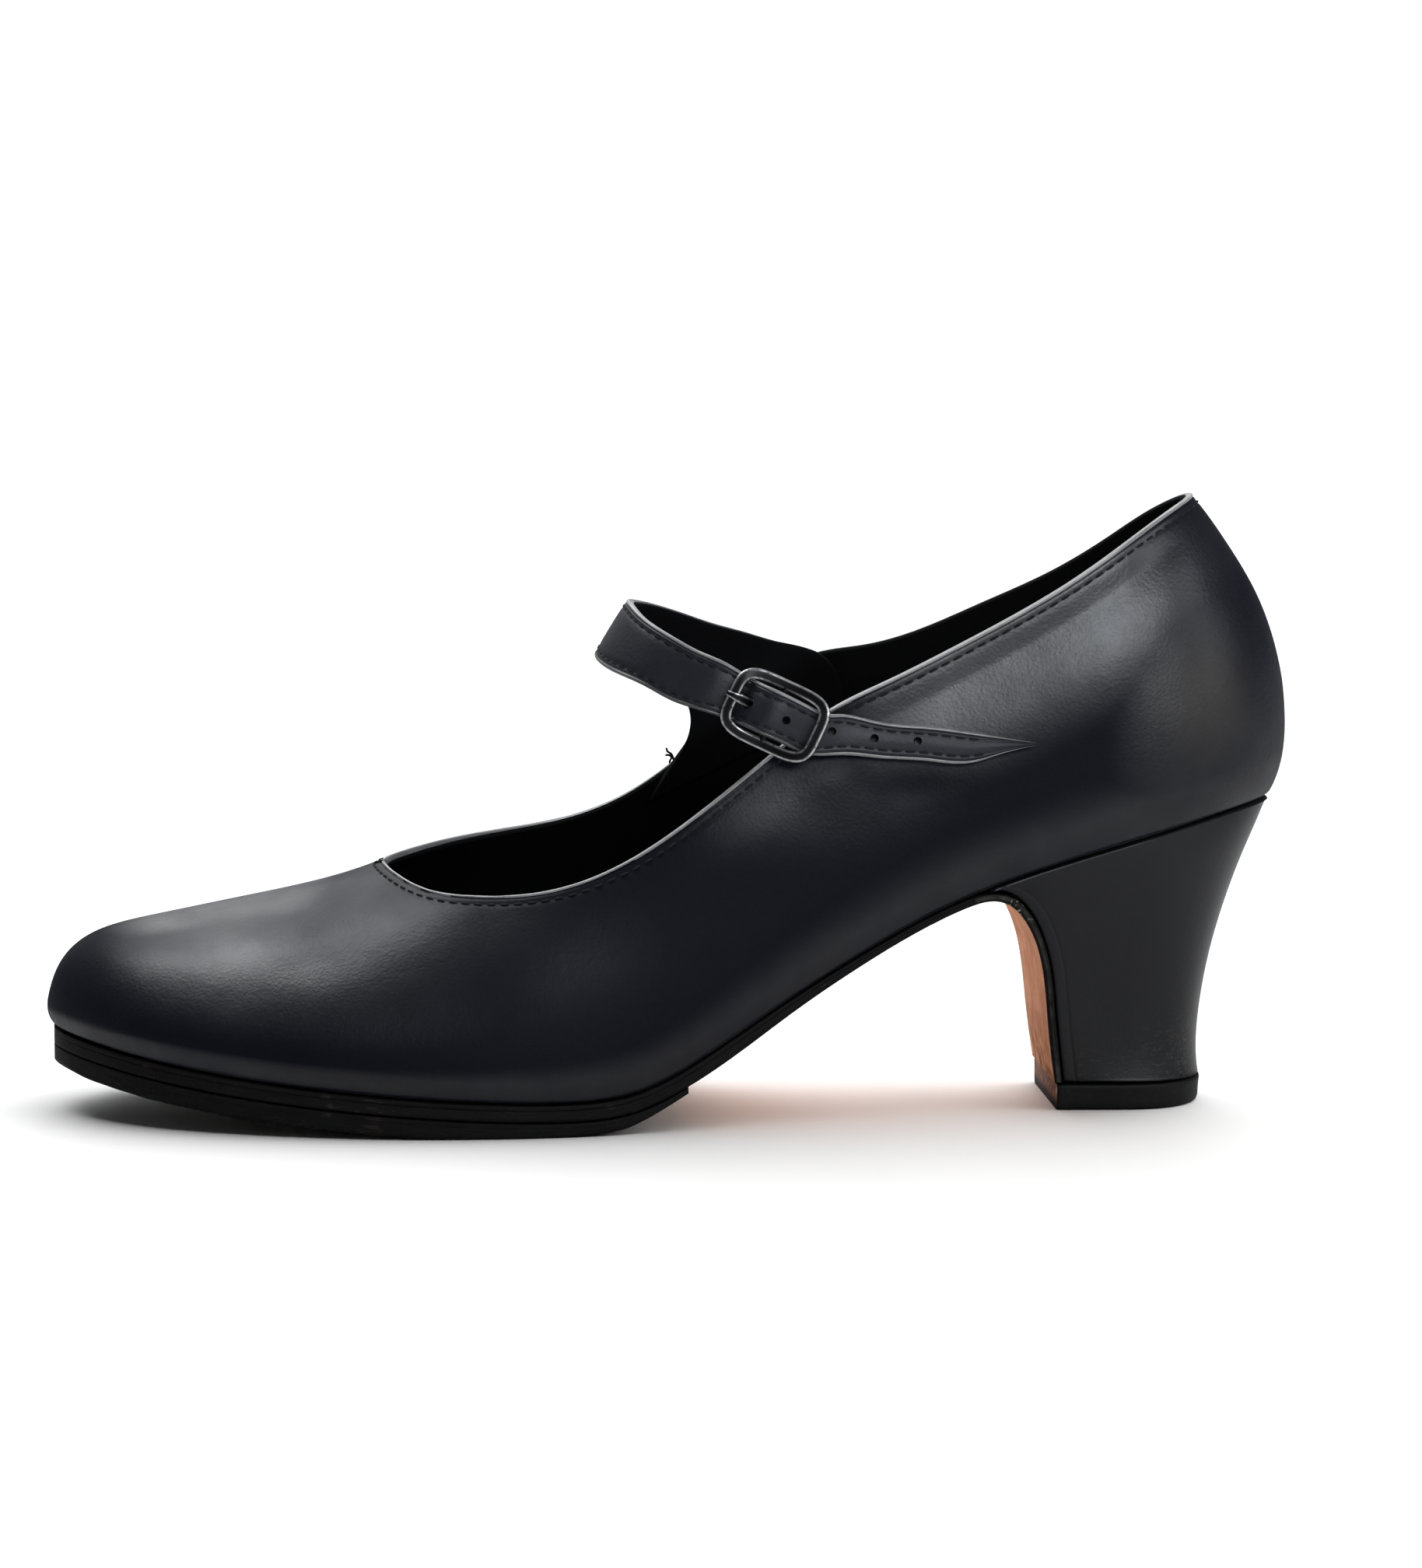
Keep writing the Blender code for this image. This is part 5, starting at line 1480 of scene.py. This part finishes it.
# %% Heel block
HEEL_LEVELS, LIPS = 84, {0.0: -0.35, 1.0: 0.45}
HEEL_FOOT, HEEL_SEAT = ((-0.5, 0.0), (-0.12, -0.1)), ((-0.15, 0.12), (-0.55, 0.0))
rings = [heel_ring(0.0, grow, drop=drop) for grow, drop in HEEL_FOOT]
for i in range(HEEL_LEVELS):
    level = i / (HEEL_LEVELS - 1)
    rings.append(heel_ring(level, 0.0, FOLD_DEPTH, LIPS.get(level, 0.0)))
rings = same_length(rings + [heel_ring(1.0, grow, drop=drop) for grow, drop in HEEL_SEAT])
points, faces = lofted(rings, ends=False)
faces = strip_ends(faces, len(rings[0]), len(rings))
piece("covered_heel", points, faces, [heel_calf], "heel", sharp=60)

# %% [markdown]
# ## The top lift
# The last layer of the heel meets the floor: five millimetres of hard black rubber, a hair wider than
# the heel, with its rim rounded by use. Its front is trimmed flush with the breast and has taken on the
# tan of the leather above, with a dried spot of glue at its outer corner. It is the heel's lowest ring,
# grown and shrunk through a short profile.

# %% Top lift rubber
lift = Finish("top_lift_rubber")
grime, grit = lift.noise(1.2, 4.0), lift.noise(2.0, 4.0).between(0.5, 0.75)
bare = lift.layer("front") * (lift.layer("depth") + 2.4 * (grime - 0.5)).between(1.0, 2.6)
black = lift.blend(0.5 * grit, (0.006, 0.006, 0.0065), (0.020, 0.0195, 0.019))
stained = lift.blend(grime.between(0.35, 0.6), (0.30, 0.125, 0.055), (0.12, 0.05, 0.025))
glue = lift.near((75.6, -16.6, 3.9), 0.4, 1.3) * grime.between(0.4, 0.5)
stained = lift.blend(0.8 * glue, stained, (0.45, 0.42, 0.36))
lift_rubber = lift.surface(
    base_color=lift.blend(bare, black, stained), roughness=0.62 + 0.15 * grit, height=0.06 * grime,
    specular_ior_level=0.09,
)
print("finish:", lift_rubber.name)

# %% Top lift
LIFT_PROFILE = ((-1.1, 0.0), (-0.55, 0.08), (-0.2, 0.4), (-0.04, 0.9), (0.02, 1.6), (0.06, 2.6),
                (0.12, 3.5), (0.2, 4.1), (0.24, 4.5), (0.18, 4.8), (0.02, 4.97), (-0.4, 5.0))
LIFT_FRONT_X, LIFT_TRIM = 75.3, 6.0
rings = []
for grow, z in LIFT_PROFILE:
    ring = heel_ring(0.0, grow)
    ring[:, 2] = z
    back_from_front = ring[:, 0] - ring[0, 0]
    ring[:, 0] -= (ring[0, 0] - LIFT_FRONT_X) * (1 - smooth_step(back_from_front, 0, LIFT_TRIM))
    rings.append(ring)
points, faces = lofted(rings, ends=False)
size, front = len(rings[0]), np.zeros(len(points))
front[::size] = front[size - 1 :: size] = 1
piece("heel_top_lift", points, strip_ends(faces, size, len(rings)), [lift_rubber],
      "top_lift", layers={"depth": points[:, 2], "front": front}, sharp=60)

# %% [markdown]
# ## The insole
# Inside, a thin insole covered in the dark lining carries the foot from toe to seat. It is a little
# hollow along its middle, as a worn one is, and its edge is pushed tight against the wall, so that no
# light comes up between them.

# %% Insole leather
worn = Finish("worn_insole_leather")
tread = worn.noise(14.0, 3.0)
print_of_foot = worn.near((-40, 0, 8), 10, 34)
base_tone = worn.blend(tread.between(0.3, 0.7), (0.010, 0.0095, 0.0095), (0.017, 0.016, 0.0155))
worn_insole = worn.surface(
    base_color=worn.blend(0.4 * print_of_foot, base_tone, (0.028, 0.026, 0.024)),
    roughness=0.6 + 0.2 * tread, height=0.03 * worn.cells(0.7) + 0.02 * worn.noise(0.3, 2.0),
)
print("finish:", worn_insole.name)

# %% Insole
INSOLE, INSOLE_INSET, INSOLE_STATIONS, INSOLE_POINTS = 1.6, 1.4, 130, 17
LEAST_OUT, LEAST_WIDTH, HOLLOW, EDGE_DROP = 0.35, 4.0, 0.35, 0.3
rings = []
for x in cosine_spaced(TOE_X + INSOLE_INSET, HEEL_X - INSOLE_INSET, INSOLE_STATIONS)[1:-1]:
    sides = []
    for side in (LATERAL, MEDIAL):
        _, out_y = outline_normal(x, side)
        sides.append(float(half_width[side](x)) - INSOLE_INSET / max(LEAST_OUT, abs(out_y)))
    if sum(sides) < LEAST_WIDTH:
        continue
    y = np.linspace(-sides[0], sides[1], INSOLE_POINTS)
    place = np.linspace(-1, 1, INSOLE_POINTS)
    dish = INSOLE - HOLLOW * (1 - place**2) - EDGE_DROP * np.clip(np.abs(place) * 8 - 7, 0, 1) ** 2
    top = np.stack([np.full_like(y, x), y, feather(x) + dish], -1)
    under = np.stack([np.full_like(y, x), y, np.full_like(y, feather(x))], -1)[::-1]
    rings.append(np.concatenate([top, under]))
points, faces = lofted(rings)
piece("insole_sock", points, faces, [worn_insole], "insole", sharp=50)

# %% [markdown]
# ## Loose ends
# A hand-finished shoe has a few thread ends: two where the strap is sewn to the inner edge, one below
# the buckle. They are only a few millimetres of thread, drawn as bent round tubes. A hair system would
# be too much for three of them.

# %% Thread ends
THREAD_END, END_POINTS, END_SIDES, END_OUT = 0.22, 26, 8, (0.3, 1.0, 0.2)
ENDS = (
    (3.5, MEDIAL, ((0, 0, -0.6), (-0.2, 0.1, 0.5), (-0.7, 0.2, 1.3), (-1.3, 0.1, 1.7), (-1.5, 0, 2.4))),
    (2.8, MEDIAL, ((0, 0, -0.6), (-0.1, 0.1, 0.4), (0.2, 0.2, 1.0), (-0.3, 0.1, 1.5), (-1.0, 0, 1.5))),
    (20.0, LATERAL, ((0, 0.2, -0.6), (0.3, -0.7, -0.9), (1.0, -0.9, -1.3), (1.9, -0.6, -1.5))),
)
made = []
for x, side, bends in ENDS:
    z = float(topline[side](x))
    root = np.array((x, wall_y(x, z, side), z))
    line = smooth_path(root + np.array(bends, float))[0](np.linspace(0, 1, END_POINTS))
    rings, _ = flat_wire(line, END_OUT, THREAD_END, THREAD_END, squareness=2.0, count=END_SIDES)
    made.append(lofted(rings))
points, faces = joined(made)
piece("thread_ends", points, faces, [black_thread])

# %% [markdown]
# ## Floor, light and camera
# The shoe stands on white paper. Paper and tan leather are lit by a wide roof light that gloss doesn't
# see. Black leather shows only what it reflects, so its light is drawn as shapes: four cards that only
# gloss sees, overhead for the vamp, in front and above for the quarter, beside the counter, and behind
# for the rims. The sky is dark but for a white field behind the shoe, so the sides stay black. One
# bright sky all round would be simpler, but it turns black leather grey.

# %% Floor
paper = Finish("white_paper")
fleck = paper.noise(40.0, 3.0)
white_paper = paper.surface(
    base_color=paper.blend(fleck, (0.90, 0.90, 0.90), (0.93, 0.93, 0.925)), roughness=0.75,
    specular_ior_level=0.2,
)
FLOOR = 14.0
bpy.ops.mesh.primitive_plane_add(size=FLOOR)
floor = bpy.context.object
floor.name = "floor"
floor.data.materials.append(white_paper)
print("floor:", FLOOR, "m across")

# %% Cards that only gloss sees
Card = namedtuple("Card", "name place aim size radiance colour")
CARDS = [Card(*row) for row in (
    ("overhead_box", (-0.46, 0.24, 1.15), (-0.08, 0.0, 0.04), (0.42, 0.80), 19.0, (0.96, 0.98, 1.0)),
    ("side_box", (0.42, -1.34, 0.68), (0.07, 0.0, 0.10), (0.9, 0.40), 23.0, (0.92, 0.96, 1.0)),
    ("counter_box", (1.30, -0.60, 0.60), (0.09, 0.0, 0.09), (0.7, 0.5), 6.0, (0.94, 0.97, 1.0)),
    ("back_box", (-0.25, 1.10, 0.95), (-0.08, 0.0, 0.04), (0.9, 0.6), 4.0, (0.97, 0.99, 1.0)),
)]


def aimed(data, toward, place=(0, 0, 0)):
    """A lamp or lens in the scene, at a place in metres, looking in a direction."""
    made = bpy.data.objects.new(data.name, data)
    made.location = place
    made.rotation_euler = Vector(toward).to_track_quat("-Z", "Y").to_euler()
    bpy.context.scene.collection.objects.link(made)
    return made


for card in CARDS:
    lamp = bpy.data.lights.new(card.name, "AREA")
    lamp.shape, lamp.color = "RECTANGLE", card.colour
    lamp.size, lamp.size_y = card.size
    lamp.energy = card.radiance * math.pi * card.size[0] * card.size[1]
    box = aimed(lamp, Vector(card.aim) - Vector(card.place), card.place)
    box.visible_diffuse = box.visible_camera = False
print("cards:", [card.name for card in CARDS])

# %% Roof light and sky
day = bpy.data.lights.new("roof_light", "SUN")
day.energy, day.angle = 5.1, math.radians(110)
roof = aimed(day, (-0.45, -0.55, -1.0))
roof.visible_glossy = False
sky = bpy.data.worlds.new("studio")
bpy.context.scene.world = sky
sky.use_nodes = True
air = Nodes(sky.node_tree)
toward = air.node("TexCoord", output="Generated")
high = air.node("SeparateXYZ", None, {0: toward}, "Z")
behind = air.node("SeparateXYZ", None, {0: toward}, "Y")
aside = air.node("SeparateXYZ", None, {0: toward}, "X")
ahead = (1 - aside.maths("ABSOLUTE", aside).between(0.18, 0.36)) * behind.between(0.45, 0.8)
glow = ahead * 1.25 + (1 - high.between(0.0, 0.05)) * 0.3 + 0.02
air.feed(sky.node_tree.nodes["Background"].inputs["Strength"], glow)
sky.node_tree.nodes["Background"].inputs["Color"].default_value = (0.98, 0.99, 1.0, 1)
bpy.context.scene.view_settings.view_transform = "Standard"
print("lights:", [o.name for o in bpy.context.scene.objects if o.type == "LIGHT"])

# %% Camera
lens = bpy.data.cameras.new("photo_camera")
lens.lens, lens.sensor_width, lens.clip_end = 141.9, 36.0, 60.0
eye, aim = Vector((-0.08445, -1.19584, 0.200)), Vector((0.00835, 0.00126, 0.0626))
bpy.context.scene.camera = aimed(lens, aim - eye, eye)
print("camera", round((aim - eye).length, 3), "m from the shoe")
